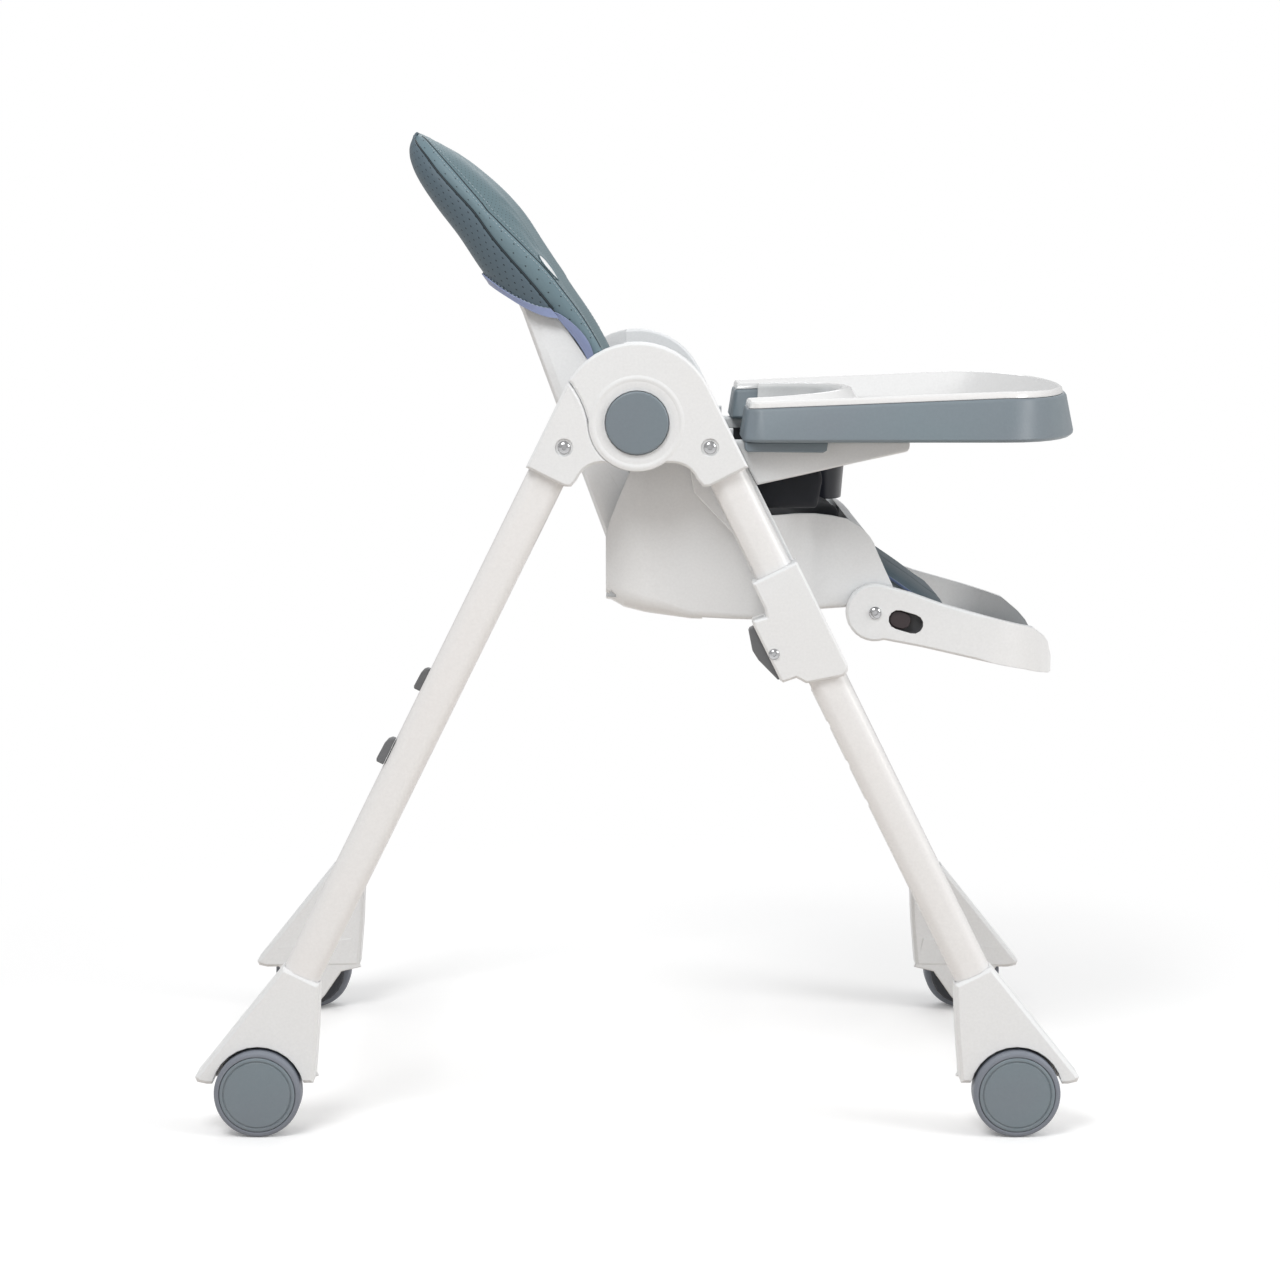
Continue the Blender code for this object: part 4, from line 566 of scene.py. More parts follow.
def blown(bm, pressure, cap):
    """Closed cloth filled from inside, held where it is sewn; no point moves further than cap."""
    sewn = bm.verts.layers.float["sewn"]
    obj = mesh_object("blown", bm)
    held = obj.vertex_groups.new(name="held")
    for v in bm.verts:
        if v[sewn] > 0:
            held.add([v.index], v[sewn], "REPLACE")
    modifier = obj.modifiers.new("cloth", "CLOTH")
    settings = modifier.settings
    settings.quality = 5
    settings.mass = 0.25
    settings.tension_stiffness = CLOTH_STIFFNESS
    settings.compression_stiffness = CLOTH_STIFFNESS
    settings.shear_stiffness = CLOTH_STIFFNESS * 0.4
    settings.bending_stiffness = 0.4
    settings.use_pressure = True
    settings.uniform_pressure_force = pressure
    settings.effector_weights.gravity = 0
    settings.vertex_group_mass = "held"
    modifier.point_cache.frame_start = 1
    modifier.point_cache.frame_end = CLOTH_FRAMES
    for frame_number in range(1, CLOTH_FRAMES + 1):
        bpy.context.scene.frame_set(frame_number)
    done = obj.evaluated_get(bpy.context.evaluated_depsgraph_get())
    places = [v.co.copy() for v in done.data.vertices]
    bm.verts.ensure_lookup_table()
    for v, co in zip(bm.verts, places):
        shift = co - v.co
        if shift.length > cap:
            shift *= cap / shift.length
        v.co += shift
    smoothed(bm, [v for v in bm.verts if v[sewn] < 0.5])
    bpy.context.scene.frame_set(1)
    discard(obj)
    return bm


def merged(name):
    """The solid of a node as one joined mesh, without the lines that cross its flat faces."""
    bm = bmesh.new()
    bm.from_mesh(NODES[name].data)
    bmesh.ops.remove_doubles(bm, verts=bm.verts, dist=1e-5)
    if name == "back_shell":
        for v in bm.verts:
            v.co = shell_flange(v.co)
    if name == "seat_shell":
        close_pivot_holes(bm)
    bmesh.ops.dissolve_limit(bm, angle_limit=math.radians(0.4), verts=bm.verts, edges=bm.edges)
    return bm


def close_pivot_holes(bm):
    """The seat's outer walls run on over the ends of the backrest's pivot pins."""
    def at_rim(v):
        return math.hypot(v.co.x - RECLINE.x, v.co.z - RECLINE.z) < 0.0066

    walls = [f for f in bm.faces if all(at_rim(v) for v in f.verts)]
    bmesh.ops.delete(bm, geom=walls, context="FACES")
    open_edges = [e for e in bm.edges if e.is_boundary and all(at_rim(v) for v in e.verts)]
    bmesh.ops.holes_fill(bm, edges=open_edges, sides=0)


def eased(name):
    """A node's solid with its sharp edges rounded."""
    obj = piece(name + "_shown", merged(name), finish_of(name), body_of(name), EDGE_ANGLE, (name,))
    edge = obj.modifiers.new("edge", "BEVEL")
    edge.width = EDGE_WIDTH
    edge.segments = 2
    edge.limit_method = "ANGLE"
    edge.angle_limit = math.radians(EDGE_ANGLE)
    edge.harden_normals = True
    obj.modifiers.new("even", "WEIGHTED_NORMAL").keep_sharp = True
    return obj


def turned(profile, cx, cz, side, steps):
    """Solid of revolution about the line y at (cx, cz); profile is (|y|, radius)."""
    bm = bmesh.new()
    verts = [bm.verts.new((r, side * y, 0)) for y, r in profile]
    edges = [bm.edges.new(pair) for pair in zip(verts, verts[1:])]
    bmesh.ops.spin(bm, geom=verts + edges, cent=(0, 0, 0), axis=(0, 1, 0),
                   angle=2 * math.pi, steps=steps, use_merge=True)
    bmesh.ops.remove_doubles(bm, verts=bm.verts, dist=1e-6)
    bmesh.ops.translate(bm, verts=bm.verts, vec=(MIDDLE_X + cx, 0, cz))
    return bm


def turned_to(direction):
    """Matrix that turns z into a direction."""
    return direction.to_track_quat("Z", "Y").to_matrix().to_4x4()


def tube(points, radius):
    """Round cord of cloth along a line of points, closed at its ends."""
    bm = bmesh.new()
    rings = []
    for i, here in enumerate(points):
        before, after = points[max(0, i - 1)], points[min(len(points) - 1, i + 1)]
        matrix = Matrix.Translation(here) @ turned_to(after - before)
        rings.append(bmesh.ops.create_circle(bm, cap_ends=False, segments=TUBE_SIDES,
                                             radius=radius, matrix=matrix)["verts"])
    for low, high in zip(rings, rings[1:]):
        join_rings(bm, low, high)
    bmesh.ops.holes_fill(bm, edges=bm.edges, sides=TUBE_SIDES)
    return bm


def join_rings(bm, low, high):
    count = len(low)
    start = min(range(count), key=lambda k: (high[k].co - low[0].co).length)
    for i in range(count):
        a, b = low[i], low[(i + 1) % count]
        c, d = high[(start + i + 1) % count], high[(start + i) % count]
        bm.faces.new((a, b, c, d))


# ---------- padded cover
# rows of (height up the backrest, value) in its own frame: half width, then fronts of the ridge,
# the seam and the side fold, depth of the dish between the ridges, and the two rears
COVER_HALF = [(0.030, 0.150), (0.100, 0.158), (0.170, 0.163), (0.232, 0.1655), (0.280, 0.1675),
              (0.338, 0.1655), (0.369, 0.1605), (0.400, 0.1495), (0.419, 0.1350), (0.431, 0.1170),
              (0.440, 0.0950)]
COVER_RIDGE = [(0.030, 0.0260), (0.100, 0.0300), (0.170, 0.0275), (0.232, 0.0170),
               (0.252, 0.0118), (0.280, 0.0062), (0.305, 0.0008), (0.338, -0.0062),
               (0.369, -0.0178), (0.400, -0.0345), (0.419, -0.0475), (0.431, -0.0580),
               (0.440, -0.0665)]
COVER_SEAM = [(0.030, 0.0200), (0.100, 0.0250), (0.170, 0.0255), (0.191, 0.0245),
              (0.227, 0.0182), (0.259, 0.0090), (0.281, 0.0014), (0.310, -0.0120),
              (0.3386, -0.0256), (0.3682, -0.0371), (0.4000, -0.0492), (0.4327, -0.0630),
              (0.440, -0.0685)]
COVER_FOLD = [(0.030, 0.0060), (0.100, 0.0090), (0.170, 0.0100), (0.191, 0.0090),
              (0.2100, 0.0050), (0.2345, -0.0035), (0.2568, -0.0110), (0.2808, -0.0197),
              (0.3037, -0.0288), (0.3261, -0.0365), (0.3510, -0.0433), (0.3739, -0.0527),
              (0.3989, -0.0625), (0.4131, -0.0669), (0.4309, -0.0729), (0.440, -0.0745)]
COVER_DISH = [(0.030, 0.004), (0.100, 0.010), (0.170, 0.012), (0.232, 0.0135), (0.252, 0.0150),
              (0.280, 0.0170), (0.305, 0.0180), (0.338, 0.0180), (0.369, 0.0155), (0.400, 0.0110),
              (0.419, 0.0060), (0.431, 0.0025), (0.440, 0.0)]
COVER_BACK = [(0.030, 0.0080), (0.160, 0.0085), (0.186, 0.0060), (0.250, -0.0215),
              (0.300, -0.0262), (0.350, -0.0350), (0.405, -0.0480), (0.440, -0.0680)]
COVER_REAR = [(0.2300, -0.0330), (0.2575, -0.0395), (0.2800, -0.0480), (0.3050, -0.0550),
              (0.3380, -0.0628), (0.3690, -0.0725), (0.4000, -0.0800), (0.4190, -0.0812),
              (0.4310, -0.0785), (0.4390, -0.0750)]
PAD_LOW, PAD_HIGH = 0.026, 0.4405
HEM_OUT = -0.0030
# across the pad, from the middle (0) to the fold (1)
ACROSS = [0.0, 0.20, 0.40, 0.58, 0.72, 0.81, 0.88, 0.94, 1.0]
FRONT_SHARES = [0.0, 0.22, 0.44, 0.64, 0.79, 0.90, 0.985, 1.006, 0.985]
REAR_SHARES = [0.0, 0.22, 0.44, 0.64, 0.79, 0.87, 0.92, 0.955, 0.985]
END_REACH = 0.0100
SEAM_SHARE = 0.88
UV_MIDDLE, UV_HALF = 1.0, 0.19
# shares of the pocket's width: round one corner, and from its middle to the corner
CORNER, FLAT = 0.22, 0.28
STITCH_LENGTH = 0.0028
# belt slot: height up the backrest and half length, share across the pad and half width
SLOT_U, SLOT_LENGTH, SLOT_SHARE, SLOT_WIDTH = 0.280, 0.0140, 0.830, 0.036


def pad_height(t):
    """Rows lie closer together at the two ends."""
    return PAD_LOW + (PAD_HIGH - PAD_LOW) * (t - 0.105 * math.sin(2 * math.pi * t))


def pad_front(share, u):
    """Half width and front of the pad at a share of the way from its middle to its fold."""
    ridge, seam = along(COVER_RIDGE, u), along(COVER_SEAM, u)
    fold, dish = along(COVER_FOLD, u), along(COVER_DISH, u)
    fronts = [ridge - dish, ridge - dish * 0.93, ridge - dish * 0.66, ridge - dish * 0.26, ridge,
              ridge - 0.32 * (ridge - seam), seam, (seam + fold) / 2 + 0.0015, fold]
    y = along(list(zip(ACROSS, FRONT_SHARES)), share) * along(COVER_HALF, u)
    return y, along(list(zip(ACROSS, fronts)), share)


def pad_rear(share, u):
    """The same for the pad's rear."""
    fold = along(COVER_FOLD, u)
    back = max(fold + 0.003, along(COVER_BACK, u))
    rears = [back] * 6 + [(back + fold) / 2 + 0.001, fold + 0.0025, fold]
    y = along(list(zip(ACROSS, REAR_SHARES)), share) * along(COVER_HALF, u)
    return y, along(list(zip(ACROSS, rears)), share)


def turn_at(s):
    """Way round a closed piece: its front from -1 to 1, then its rear back again."""
    return s * 4 - 1 if s <= 0.5 else 3 - s * 4


def pad_point(s, t):
    """Round the pad: s goes over its front from the right fold to the left, then back behind."""
    u, turn = pad_height(t), turn_at(s)
    share = min(1.0, abs(turn))
    y, n = pad_front(share, u) if s <= 0.5 else pad_rear(share, u)
    middle = (pad_front(share, u)[1] + pad_rear(share, u)[1]) / 2
    near_end = max((u - (PAD_HIGH - END_REACH)) / END_REACH,
                   ((PAD_LOW + END_REACH) - u) / END_REACH, 0.0)
    full = math.sqrt(max(0.0, 1 - min(1.0, near_end) ** 2))
    common = share * 0.985 * along(COVER_HALF, u)
    y = common * (1 - full) + y * full
    n = middle * (1 - full) + n * full
    return back_point(u, math.copysign(y, turn), n)


def pad_uv(s, t):
    return turn_at(s) * UV_HALF + UV_MIDDLE, pad_height(t)


def pad_sewn(s, t):
    """Held at the seams, along the fold, at the ends and all over its rear."""
    share, u = abs(turn_at(s)), pad_height(t)
    if s > 0.5 or share > 0.985 or u < 0.036 or u > 0.432 or (u < 0.255 and share > 0.93):
        return 1.0
    if abs(share - SEAM_SHARE) < 0.009:
        return 1.0
    return 0.4 if share < 0.05 else 0.0


def pocket_share(s):
    """How far round the corner a point lies, 0 at the fold and 1 on the back panel."""
    return min(1.0, (0.5 - abs(s - 0.5)) / CORNER)


def pocket_hem(s):
    """Height of the pocket's lower edge."""
    bend_share = math.sin(pocket_share(s) * math.pi / 2)
    return along([(0.0, 0.2345), (0.28, 0.2425), (0.60, 0.2575), (0.88, 0.2790), (1.0, 0.2880)],
                 bend_share)


def pocket_at(s, u):
    half = along(COVER_HALF, u) * 0.992
    fold = along(COVER_FOLD, u)
    rear = min(along(COVER_REAR, u), fold - 0.003)
    corner = min(0.036, half * 0.4)
    share = pocket_share(s)
    if share < 1:
        angle = share * math.pi / 2
        y = half - corner + corner * math.cos(angle) ** 0.72
        n = fold + (rear - fold) * math.sin(angle) ** 0.9
    else:
        y = (half - corner) * abs(s - 0.5) / FLAT
        n = rear - 0.0015 * math.cos(math.pi / 2 * min(1, abs(s - 0.5) / FLAT))
    return back_point(u, y if s > 0.5 else -y, n)


def pocket_height(s, t, top):
    """From the hem up to the top, in rows that lie closer together there."""
    hem = pocket_hem(s)
    return hem + (top - hem) * (1 - (1 - t) ** 1.5)


def pocket_point(s, t):
    u = pocket_height(s, t, PAD_HIGH - 0.0005)
    spot = pocket_at(s, u)
    near_top = min(1.0, max(0.0, (u - (PAD_HIGH - 0.0125)) / 0.0120))
    closing = 1 - math.sqrt(1 - near_top ** 2)
    return spot.lerp(back_point(u, spot.y, along(COVER_BACK, u)), closing)


def pocket_uv(s, t):
    return (s - 0.5) * 0.40 + UV_MIDDLE, pocket_height(s, t, PAD_HIGH)


def hem_point(s, t):
    """Hem over the pocket's lower edge, which it wraps where t is near 0."""
    span = (0.0098 / (PAD_HIGH - pocket_hem(s)) / 1.5) * (t * 1.12 - 0.12)
    spot = offset_point(pocket_point, s, max(0, span), HEM_OUT)
    if span < 0:
        spot += Vector((BACK_SIN, 0, -BACK_COS)) * 0.0012
    return spot


def stitches(name, line, tree, pitch, radius):
    """Row of thread stitches lying on a piece along a line of points."""
    bm = bmesh.new()
    total = sum((b - a).length for a, b in zip(line, line[1:]))
    count = max(2, int(total / pitch))
    marks = []
    walked, k = 0.0, 0
    for i in range(count + 1):
        target = total * i / count
        while k < len(line) - 2 and walked + (line[k + 1] - line[k]).length < target:
            walked += (line[k + 1] - line[k]).length
            k += 1
        span = (line[k + 1] - line[k]).length or 1e-9
        marks.append(line[k].lerp(line[k + 1], min(1.0, (target - walked) / span)))
    stretch = Matrix.Diagonal((1, 1, STITCH_LENGTH / 2 / radius, 1))
    for a, b in zip(marks, marks[1:]):
        spot, normal, _, _ = tree.find_nearest((a + b) / 2)
        middle = Matrix.Translation(spot + normal * radius * 0.4)
        bmesh.ops.create_uvsphere(bm, u_segments=6, v_segments=4, radius=radius,
                                  matrix=middle @ turned_to(b - a) @ stretch)
    piece(name, bm, "thread", "backrest", 80)


def quilting(u, y):
    """Depth of the gathered creases that run to each belt slot."""
    depth = 0.0
    for line in (((0.349, 0.161), (0.340, 0.152), (0.322, 0.145), (0.298, 0.143)),
                 ((0.352, 0.143), (0.336, 0.136), (0.312, 0.132), (0.294, 0.134))):
        near = 1.0
        for (u0, y0), (u1, y1) in zip(line, line[1:]):
            span = (u1 - u0) ** 2 + (y1 - y0) ** 2
            t = min(1.0, max(0.0, ((u - u0) * (u1 - u0) + (y - y0) * (y1 - y0)) / span))
            near = min(near, math.hypot(u - u0 - t * (u1 - u0), y - y0 - t * (y1 - y0)))
        depth += 0.0026 * math.exp(-(near / 0.0032) ** 2)
    return depth


def padded_cover():
    """The cover's front pad, its pocket over the top of the backrest, hems, seams and slots."""
    bm = blown(grid(144, 120, pad_point, pad_uv, pad_sewn, weld=True), pressure=3.0, cap=0.007)
    for v in bm.verts:
        u, n = back_place(v.co)
        if n > along(COVER_FOLD, u) + 0.006:
            v.co = back_point(u, v.co.y, n - quilting(u, abs(v.co.y)))
    pad = piece("cover_pad", bm, "cover_front", "backrest", 80, ("back_cover",), 1)

    bm = grid(120, 44, pocket_point, pocket_uv)
    pocket = piece("cover_pocket", bm, "cover_punched", "backrest", 60, ("back_cover",), 1, 0.0022)
    piece("pocket_hem", grid(120, 4, hem_point), "hem", "backrest", thickness=0.0012)
    row = [hem_point(i / 150, 1.0) for i in range(1, 150)]
    stitches("pocket_hem_stitches", row, tree_on(pocket), 0.0042, 0.00038)

    pad.data.materials.append(FINISH["cover_roll"])
    layer = pad.data.uv_layers[0].data
    for face in pad.data.polygons:
        far = sum(abs(layer[i].uv.x - UV_MIDDLE) for i in face.loop_indices)
        if far / len(face.loop_indices) > UV_HALF * SEAM_SHARE:
            face.material_index = 1
    pad_tree = tree_on(pad)
    for key, side in SIDES.items():
        cover_side(key, side, pad_tree)


def cover_side(key, side, pad_tree):
    """One side's fold line, seam with its rows of stitches, side hem and belt slot."""
    def front_point(share, u):
        y, n = pad_front(share, u)
        return back_point(u, side * y, n)

    def side_hem_point(s, t):
        u = 0.180 + 0.062 * s
        band = 0.0085 * math.sin(math.pi * min(1.0, max(0.0, s * 1.04))) ** 0.55 + 0.0006
        y, n = pad_front(1.0, u)
        front_y, front_n = pad_front(0.94, u)
        reach = min(0.95, band * t / max(1e-4, front_n - n))
        y = y + (front_y - y) * math.sin(reach * math.pi / 2) + 0.0009
        return back_point(u, side * y, n - 0.0006 + (front_n - n) * reach)

    # Thin near-black tubes along the fold line and the seam are painted shade in their grooves.
    row = [back_point(u, side * along(COVER_HALF, u) * 0.991, along(COVER_FOLD, u) + 0.0008)
           for u in spaced(0.243, 0.434, 90)]
    piece(f"cover_crease_shade_{key}", tube(row, 0.0013), "crease", "backrest", 80)
    row = [pad_tree.find_nearest(front_point(SEAM_SHARE, u))[0] for u in spaced(0.195, 0.436, 120)]
    piece(f"cover_seam_{key}", tube(row, 0.0006), "crease", "backrest", 80)
    for label, share in (("outer", 0.905), ("inner", 0.858)):
        row = [front_point(share, u) for u in spaced(0.205, 0.432, 80)]
        stitches(f"cover_seam_{label}_{key}", row, pad_tree, 0.0040, 0.0004)
    bm = grid(40, 6, side_hem_point)
    piece(f"cover_side_hem_{key}", bm, "hem", "backrest", thickness=0.0010)

    lens = []
    for i in range(40):
        angle = 2 * math.pi * i / 40
        share = SLOT_SHARE + SLOT_WIDTH * math.sin(angle) * abs(math.sin(angle)) ** 0.5
        u = SLOT_U + SLOT_LENGTH * math.cos(angle)
        spot, normal, _, _ = pad_tree.find_nearest(front_point(share, u))
        lens.append(spot + normal * 0.0009)
    bm = bmesh.new()
    bm.faces.new([bm.verts.new(p) for p in lens])
    bmesh.ops.triangulate(bm, faces=bm.faces)
    piece(f"belt_slot_{key}", bm, "white", "backrest", thickness=0.0006)
    piece(f"belt_slot_edge_{key}", tube(lens + lens[:1], 0.0005), "cover_front", "backrest")


# ---------- rigid pieces
OWN_FORM = ("wheel_", "back_cover", "seat_pad", "side_wing", "leg_pad")
# profiles of (distance from the chair's middle, radius), turned about each wheel's axle
TYRE = [(0.2426, 0.0090), (0.2426, 0.0370), (0.2431, 0.0386), (0.2442, 0.0397), (0.2456, 0.0400),
        (0.2664, 0.0400), (0.2677, 0.0396), (0.2687, 0.0386), (0.2692, 0.0368), (0.2693, 0.0357),
        (0.2690, 0.0352), (0.2625, 0.0351), (0.2625, 0.0090), (0.2426, 0.0090)]
CAP = [(0.2628, 0.0), (0.2628, 0.0347), (0.2692, 0.0347), (0.26965, 0.0343), (0.2699, 0.0337),
       (0.2700, 0.0318), (0.2692, 0.0314), (0.2692, 0.0306), (0.2700, 0.0302), (0.27035, 0.0200),
       (0.2705, 0.0)]
CARRIER_EYE = [(0.2317, 0.0), (0.2311, 0.0020), (0.2311, 0.0046), (0.2317, 0.0052),
               (0.2330, 0.0052), (0.2330, 0.0), (0.2317, 0.0)]
# rows of (inward, up) down the tray's wall, and the belly curve it follows
APRON = [(-0.0008, -0.0200), (0.0044, -0.0030), (0.0056, 0.0035), (0.0078, 0.0064),
         (0.0128, 0.0068)]
BELLY_X, BELLY_DEPTH, BELLY_HALF, BELLY_TURN = 0.107, 0.085, 0.150, 77


def eased_nodes():
    """Every moulded or turned solid with its sharp edges rounded."""
    for name in NODES:
        if name.startswith(OWN_FORM):
            continue
        made = eased(name)
        if name == "footrest":
            # Faces inside the latch slot are painted near-black as the shade in the slot.
            made.data.materials.append(FINISH["hollow"])
            for face in made.data.polygons:
                if in_latch_slot(face.center):
                    face.material_index = 1


def shell_flange(co):
    """The shell's side flanges come forward above the hubs, and its pivot pins end in the seat."""
    u, n = back_place(co)
    front = along([(0.120, 0.012), (0.160, 0.006), (0.186, -0.002), (0.250, -0.025),
                   (0.300, -0.0285), (0.350, -0.037)], u)
    if 0.150 < u < 0.310 and n > front - 0.0045 and abs(co.y) > 0.110:
        ahead = along([(0.150, 0.0), (0.160, 0.004), (0.186, 0.0105), (0.250, 0.0150),
                       (0.300, 0.0015), (0.310, 0.0)], u)
        return back_point(u, co.y, n + ahead)
    if math.hypot(u, n) < 0.0095 and abs(co.y) > 0.19:
        return Vector((co.x, math.copysign(0.1984, co.y), co.z))
    return co


def in_latch_slot(point):
    """True inside the pocket of the footrest's latch."""
    tilt = math.radians(16.5)
    x = point.x - ANKLE.x - 0.030 * math.cos(tilt)
    z = point.z - ANKLE.z + 0.030 * math.sin(tilt)
    across = x * math.cos(tilt) - z * math.sin(tilt)
    up = x * math.sin(tilt) + z * math.cos(tilt)
    beyond = max(0.0, abs(across) - 0.0075)
    return math.hypot(beyond, up) < 0.0093 and 0.1575 < abs(point.y) < 0.1678


def boss_rings():
    """Soft raised ring round each hub's button."""
    crown = [(0.2639 + 0.0007 * math.sin(math.pi * share) ** 1.4, 0.0432 - 0.0064 * share)
             for share in (i / 12 for i in range(13))]
    profile = [(0.2632, 0.0438)] + crown + [(0.2632, 0.0364), (0.2632, 0.0438)]
    for key, side in SIDES.items():
        bm = turned(profile, 0.0, HUB.z, side, 96)
        piece(f"boss_ring_{key}", bm, "white", body_of(f"front_hub_{key}"), 80)


def tray_apron():
    """White wall of the food tray down the belly curve."""
    def apron_point(s, t):
        angle = math.radians(BELLY_TURN * (2 * s - 1))
        inward, rise = curve_at(APRON, t)
        x = BELLY_X + (BELLY_DEPTH + inward) * math.cos(angle) ** 1.15
        rim = 0.6673 + 0.0097 * smooth_step(0.095, 0.331, x)
        return place(x, (BELLY_HALF + inward) * math.sin(angle), rim + rise)

    piece("tray_apron", grid(96, 16, apron_point), "gloss", body_of("tray_insert"),
          thickness=-0.0006)


def wheels():
    """Tyre, cap with its turned groove, and carrier disc with the axle's cover."""
    for end_name, end in ENDS.items():
        for key, side in SIDES.items():
            corner = f"{end_name}_{key}"
            wheel, carrier = f"wheel_{corner}", f"wheel_carrier_{corner}"
            x, z = end * WHEEL_X, WHEEL_RADIUS
            bm = turned(TYRE, x, z, side, 96)
            piece(f"tyre_{corner}", bm, "tread", wheel, 50, (wheel,))
            bm = turned(CAP, x, z, side, 96)
            piece(f"cap_{corner}", bm, "slate", wheel, 34, (f"wheel_cap_{corner}",))
            eased(carrier)
            bm = turned(CARRIER_EYE, x - end * 0.0245, z, side, 24)
            piece(f"carrier_eye_{corner}", bm, "tread", body_of(carrier), 34)


def screw(name, x, z, side, body, floor, radius):
    """Domed steel screw head with a socket, seated on the floor of its recess."""
    profile = [(floor - 0.0004, 0.0), (floor - 0.0004, radius)]
    for i in range(7):
        angle = math.pi / 2 * i / 8
        profile.append((floor + 0.0006 + 0.0030 * math.sin(angle),
                        radius * math.cos(angle) * 0.98 + 0.0004 * (1 - i / 8)))
    profile += [(floor + 0.0031, radius * 0.44), (floor + 0.0014, radius * 0.42),
                (floor + 0.0014, 0.0)]
    piece(name, turned(profile, x, z, side, 40), "steel", body, 34)


def screws():
    """Screws of the hubs, the height sleeves and the footrest's pivots."""
    for key, side in SIDES.items():
        for label, end in ENDS.items():
            screw(f"hub_screw_{label}_{key}", end * 0.0655, 0.634, side,
                  body_of(f"{label}_hub_{key}"), floor=0.2626, radius=0.0056)
        screw(f"sleeve_screw_{key}", 0.124, 0.447, side, body_of(f"height_sleeve_{key}"),
              floor=0.2612, radius=0.0048)
        screw(f"footrest_screw_{key}", 0.222, 0.474, side, "footrest",
              floor=0.1678, radius=0.0056)


# ---------- soft pieces
CHANNEL_DEPTH, CHANNEL_WIDTH = 0.0030, 0.0035
FLAP_LINE = [(-0.0030, 0.0430), (0.0115, 0.0325), (0.0340, 0.0170), (0.0520, 0.0035),
             (0.0700, -0.0080)]


def cushion(name, voxel, pressure, cap, channels=None, reach=None):
    """A node's plain cushion as filled cloth; channels presses its sewn lines in afterwards,
    and reach moves its points on past the node's box."""
    bm = merged(name)
    plain = mesh_object(name + "_plain", bm)
    bm.free()
    even = plain.modifiers.new("even", "REMESH")
    even.mode = "VOXEL"
    even.voxel_size = voxel
    bm = shown_mesh(plain)
    discard(plain)
    smoothed(bm, bm.verts)
    low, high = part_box(name)
    sewn = bm.verts.layers.float.new("sewn")
    for v in bm.verts:
        v[sewn] = 1.0 if v.co.z < low.z + 0.004 else 0.0
    bm = blown(bm, pressure, cap)
    for v in bm.verts:
        if channels:
            v.co.z -= channels(v.co, low, high)
        for k in range(3):
            v.co[k] = min(high[k] + 0.002, max(low[k] - 0.0004, v.co[k]))
        if reach:
            v.co += reach(v.co, low, high)
    made = piece(name + "_filled", bm, "lining", "seat", 80, (name,), 1)


def seat_channels(co, low, high):
    """Depth of the sewn lines across the seat cushion."""
    if co.z < (low.z + high.z) / 2 - 0.002:
        return 0.0
    away = (co.x - (low.x + (high.x - low.x) * 0.52), co.y + 0.062, co.y - 0.062)
    return sum(CHANNEL_DEPTH * math.exp(-(d / CHANNEL_WIDTH) ** 2) for d in away)


def seat_front(co, low, high):
    """The cushion swells over the seat's front lip."""
    share = smooth_step(high.x - 0.045, high.x - 0.004, co.x)
    upper = smooth_step(low.z + 0.006, high.z - 0.004, co.z)
    return Vector((0.010 * share * upper, 0, 0.006 * share * upper))


def seat_softs():
    """Seat cushion and liner panels inside the armrests, each with a seam in front."""
    cushion("seat_pad", voxel=0.0055, pressure=4.0, cap=0.006, channels=seat_channels,
            reach=seat_front)
    for key, side in SIDES.items():
        cushion(f"side_wing_{key}", voxel=0.0025, pressure=2.0, cap=0.0015)
        low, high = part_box(f"side_wing_{key}")
        y = (low.y if side > 0 else high.y) - side * 0.0006
        line = [place(0.145, y, low.z + 0.004 + (high.z - low.z - 0.008) * i / 20)
                for i in range(21)]
        piece(f"wing_seam_{key}", tube(line, 0.0011), "hem", "seat")


def leg_flap():
    """Padded flap over the footrest's root, with piping along its free edges."""
    low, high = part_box("leg_pad")
    half = (high.y - low.y) / 2
    path = curve_through([(x, 0.0, z) for x, z in FLAP_LINE], 40)
    last = len(path) - 2

    def path_point(i, y):
        return Vector((ANKLE.x + path[i].x, y, ANKLE.z + path[i].z))

    def flap_point(s, t):
        at = t * (len(path) - 1)
        i = min(last, int(at))
        here = path[i].lerp(path[i + 1], at - i)
        tangent = (path[i + 1] - path[i]).normalized()
        normal = Vector((-tangent.z, 0, tangent.x))
        turn = turn_at(s)
        round_off = (1 - abs(turn) ** 5) ** 0.5
        ends = math.sin(math.pi * min(1, max(0, min(t, 1 - t) * 9)) / 2) ** 0.6
        if s <= 0.5:
            quilt = 1 - 0.30 * math.exp(-((abs(turn) - 0.42) / 0.03) ** 2)
            spot = here + normal * (0.0098 * round_off * ends * quilt)
        else:
            spot = here - normal * (0.0100 * round_off * ends)
        return Vector((ANKLE.x + spot.x, turn * (half - 0.0008), ANKLE.z + spot.z))

    def flap_uv(s, t):
        return s * 0.5, t * 0.1

    bm = grid(96, 28, flap_point, flap_uv, weld=True)
    bmesh.ops.holes_fill(bm, edges=bm.edges, sides=0)
    flap = piece("leg_flap", bm, "flap", "footrest", 80, ("leg_pad",), 1)
    line = [path_point(i, -(half - 0.0006)) for i in range(1, last + 1)]
    line += [path_point(last, -half + 2 * half * i / 30) for i in range(1, 30)]
    line += [path_point(i, half - 0.0006) for i in range(last, 0, -1)]
    piece("flap_piping", tube(line, 0.0013), "blue_piping", "footrest")


# ---------- studio
CAMERA_LENS = 90.37
CAMERA_DISTANCE = 3.146
CAMERA_HEIGHT = 0.811
CAMERA_TILT = math.radians(83.06)


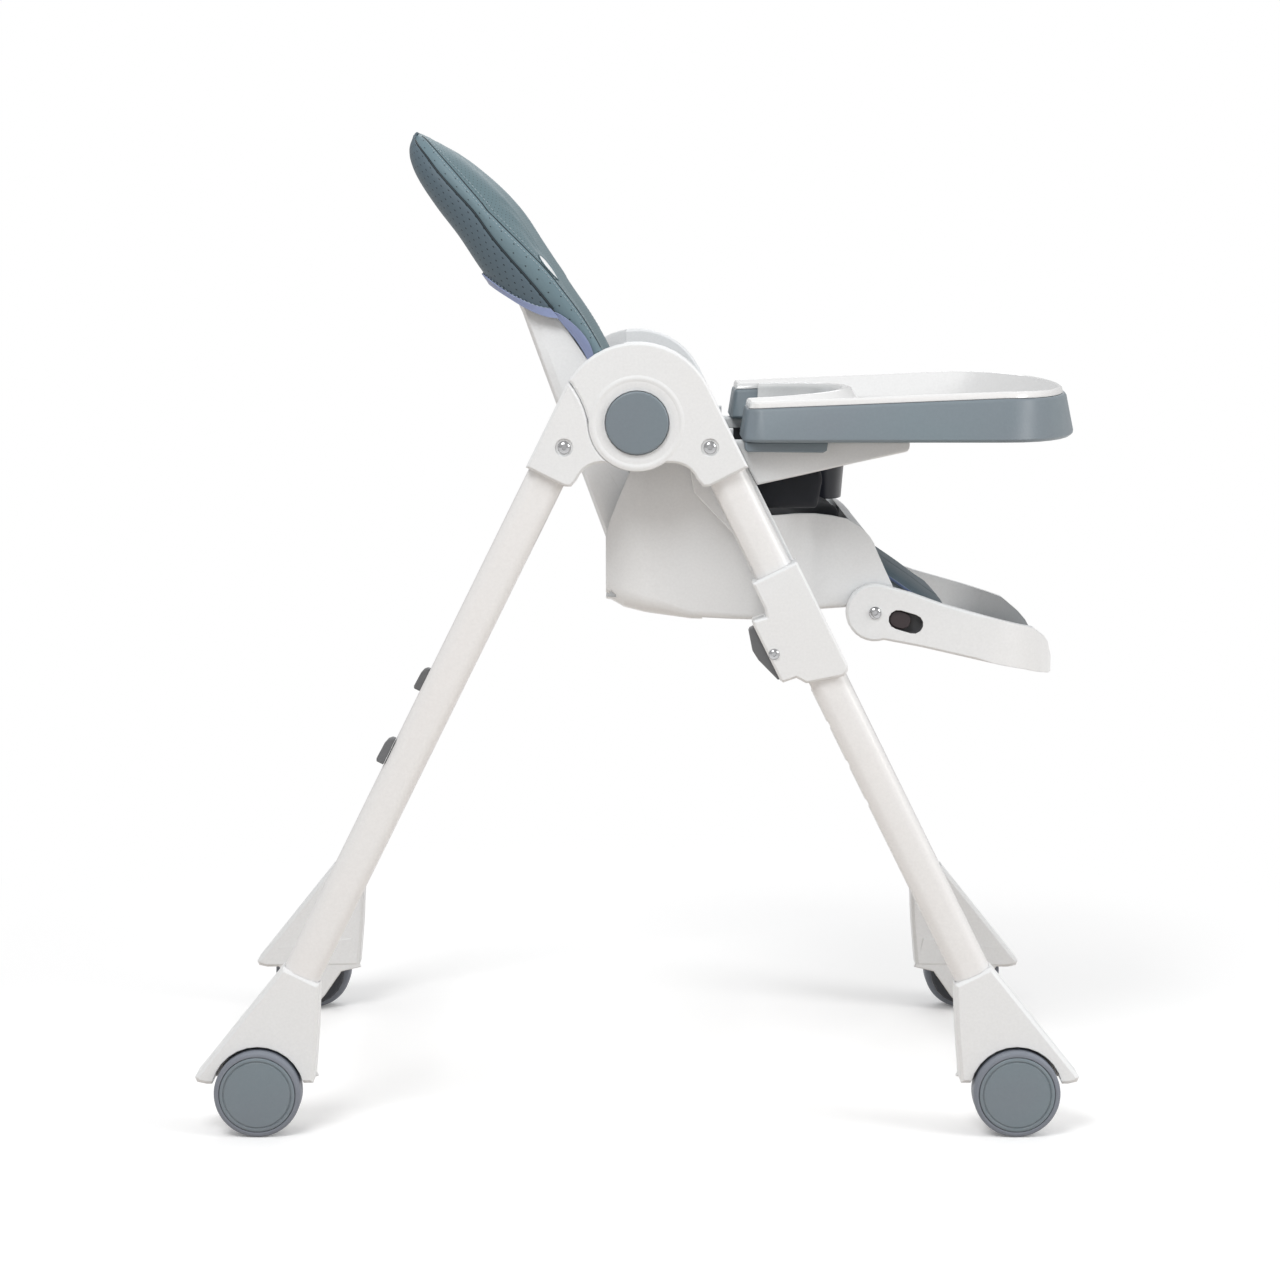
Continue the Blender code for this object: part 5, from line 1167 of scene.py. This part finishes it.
def area_light(name, energy, size, position, target, colour=(1, 1, 1)):
    data = bpy.data.lights.new(name, "AREA")
    data.energy = energy
    data.shape = "DISK"
    data.size = size
    data.color = colour
    lamp = added(name, data)
    lamp.location = position
    lamp.rotation_mode = "QUATERNION"
    lamp.rotation_quaternion = (Vector(target) - Vector(position)).to_track_quat("-Z", "Y")


def studio():
    """White room: bright air, a floor that fades into it, and three soft lamps."""
    scene = bpy.context.scene
    scene.view_settings.view_transform = "Standard"
    world = bpy.data.worlds.new("studio")
    scene.world = world
    world.use_nodes = True
    tree = Tree(world.node_tree)
    seen = tree.add("Background", {"Color": (1, 1, 1, 1), "Strength": 1.0})
    lit = tree.add("Background", {"Color": (0.997, 0.997, 0.997, 1), "Strength": 0.60})
    rays = tree.add("LightPath").outputs
    direct = tree.math("MAXIMUM", rays["Is Camera Ray"], rays["Is Transmission Ray"])
    mix = tree.add("MixShader", {0: direct, 1: lit.outputs[0], 2: seen.outputs[0]})
    tree.add("OutputWorld", {"Surface": mix.outputs[0]})

    bm = bmesh.new()
    bmesh.ops.create_circle(bm, cap_ends=True, segments=96, radius=9.0)
    floor = mesh_object("floor", bm)
    bm.free()
    floor.location = (0, 0, -0.0002)
    pale = bpy.data.materials.new("pale_floor")
    pale.use_nodes = True
    tree = Tree(pale.node_tree)
    near = tree.add("BsdfDiffuse", {"Color": (0.97, 0.97, 0.97, 1)}).outputs[0]
    glow = tree.add("Emission", {"Color": (1, 1, 1, 1), "Strength": 1.0}).outputs[0]
    bounce = tree.add("BsdfDiffuse", {"Color": (0.63, 0.57, 0.515, 1)}).outputs[0]
    length = tree.add("VectorMath", {0: tree.object_place()}, operation="LENGTH")
    fade = tree.add("MapRange", {"From Min": 0.55, "From Max": 1.25,
                                 "Value": length.outputs["Value"]},
                    interpolation_type="SMOOTHSTEP")
    lift = tree.add("Emission", {"Strength": 0.09}).outputs[0]
    lifted = tree.add("AddShader", {0: near, 1: lift}).outputs[0]
    shown = tree.add("MixShader", {0: fade.outputs[0], 1: lifted, 2: glow}).outputs[0]
    rays = tree.add("LightPath").outputs
    direct = tree.math("MAXIMUM", rays["Is Camera Ray"], rays["Is Glossy Ray"])
    mix = tree.add("MixShader", {0: direct, 1: bounce, 2: shown})
    tree.add("OutputMaterial", {"Surface": mix.outputs[0]})
    floor.data.materials.append(pale)

    area_light("key", 50, 1.5, (-0.9, -2.2, 3.0), (0, 0, 0.5))
    area_light("fill", 34, 1.6, (2.7, -1.3, 1.8), (0, 0, 0.5))
    area_light("back", 20, 2.0, (0.3, 2.6, 2.4), (0, 0, 0.6), (0.97, 0.98, 1.0))


def camera():
    """Eye level just above the armrests, square to the chair's near side."""
    data = bpy.data.cameras.new("camera")
    data.sensor_width = 36
    data.lens = CAMERA_LENS
    data.clip_start = 0.05
    data.clip_end = 60
    eye = added("camera", data)
    eye.location = (MIDDLE_X + 0.00265, -CAMERA_DISTANCE, CAMERA_HEIGHT)
    eye.rotation_euler = (CAMERA_TILT, 0, 0)
    bpy.context.scene.camera = eye


# ---------- assembly
dress_nodes()
eased_nodes()
boss_rings()
tray_apron()
wheels()
screws()
padded_cover()
seat_softs()
leg_flap()
studio()
camera()
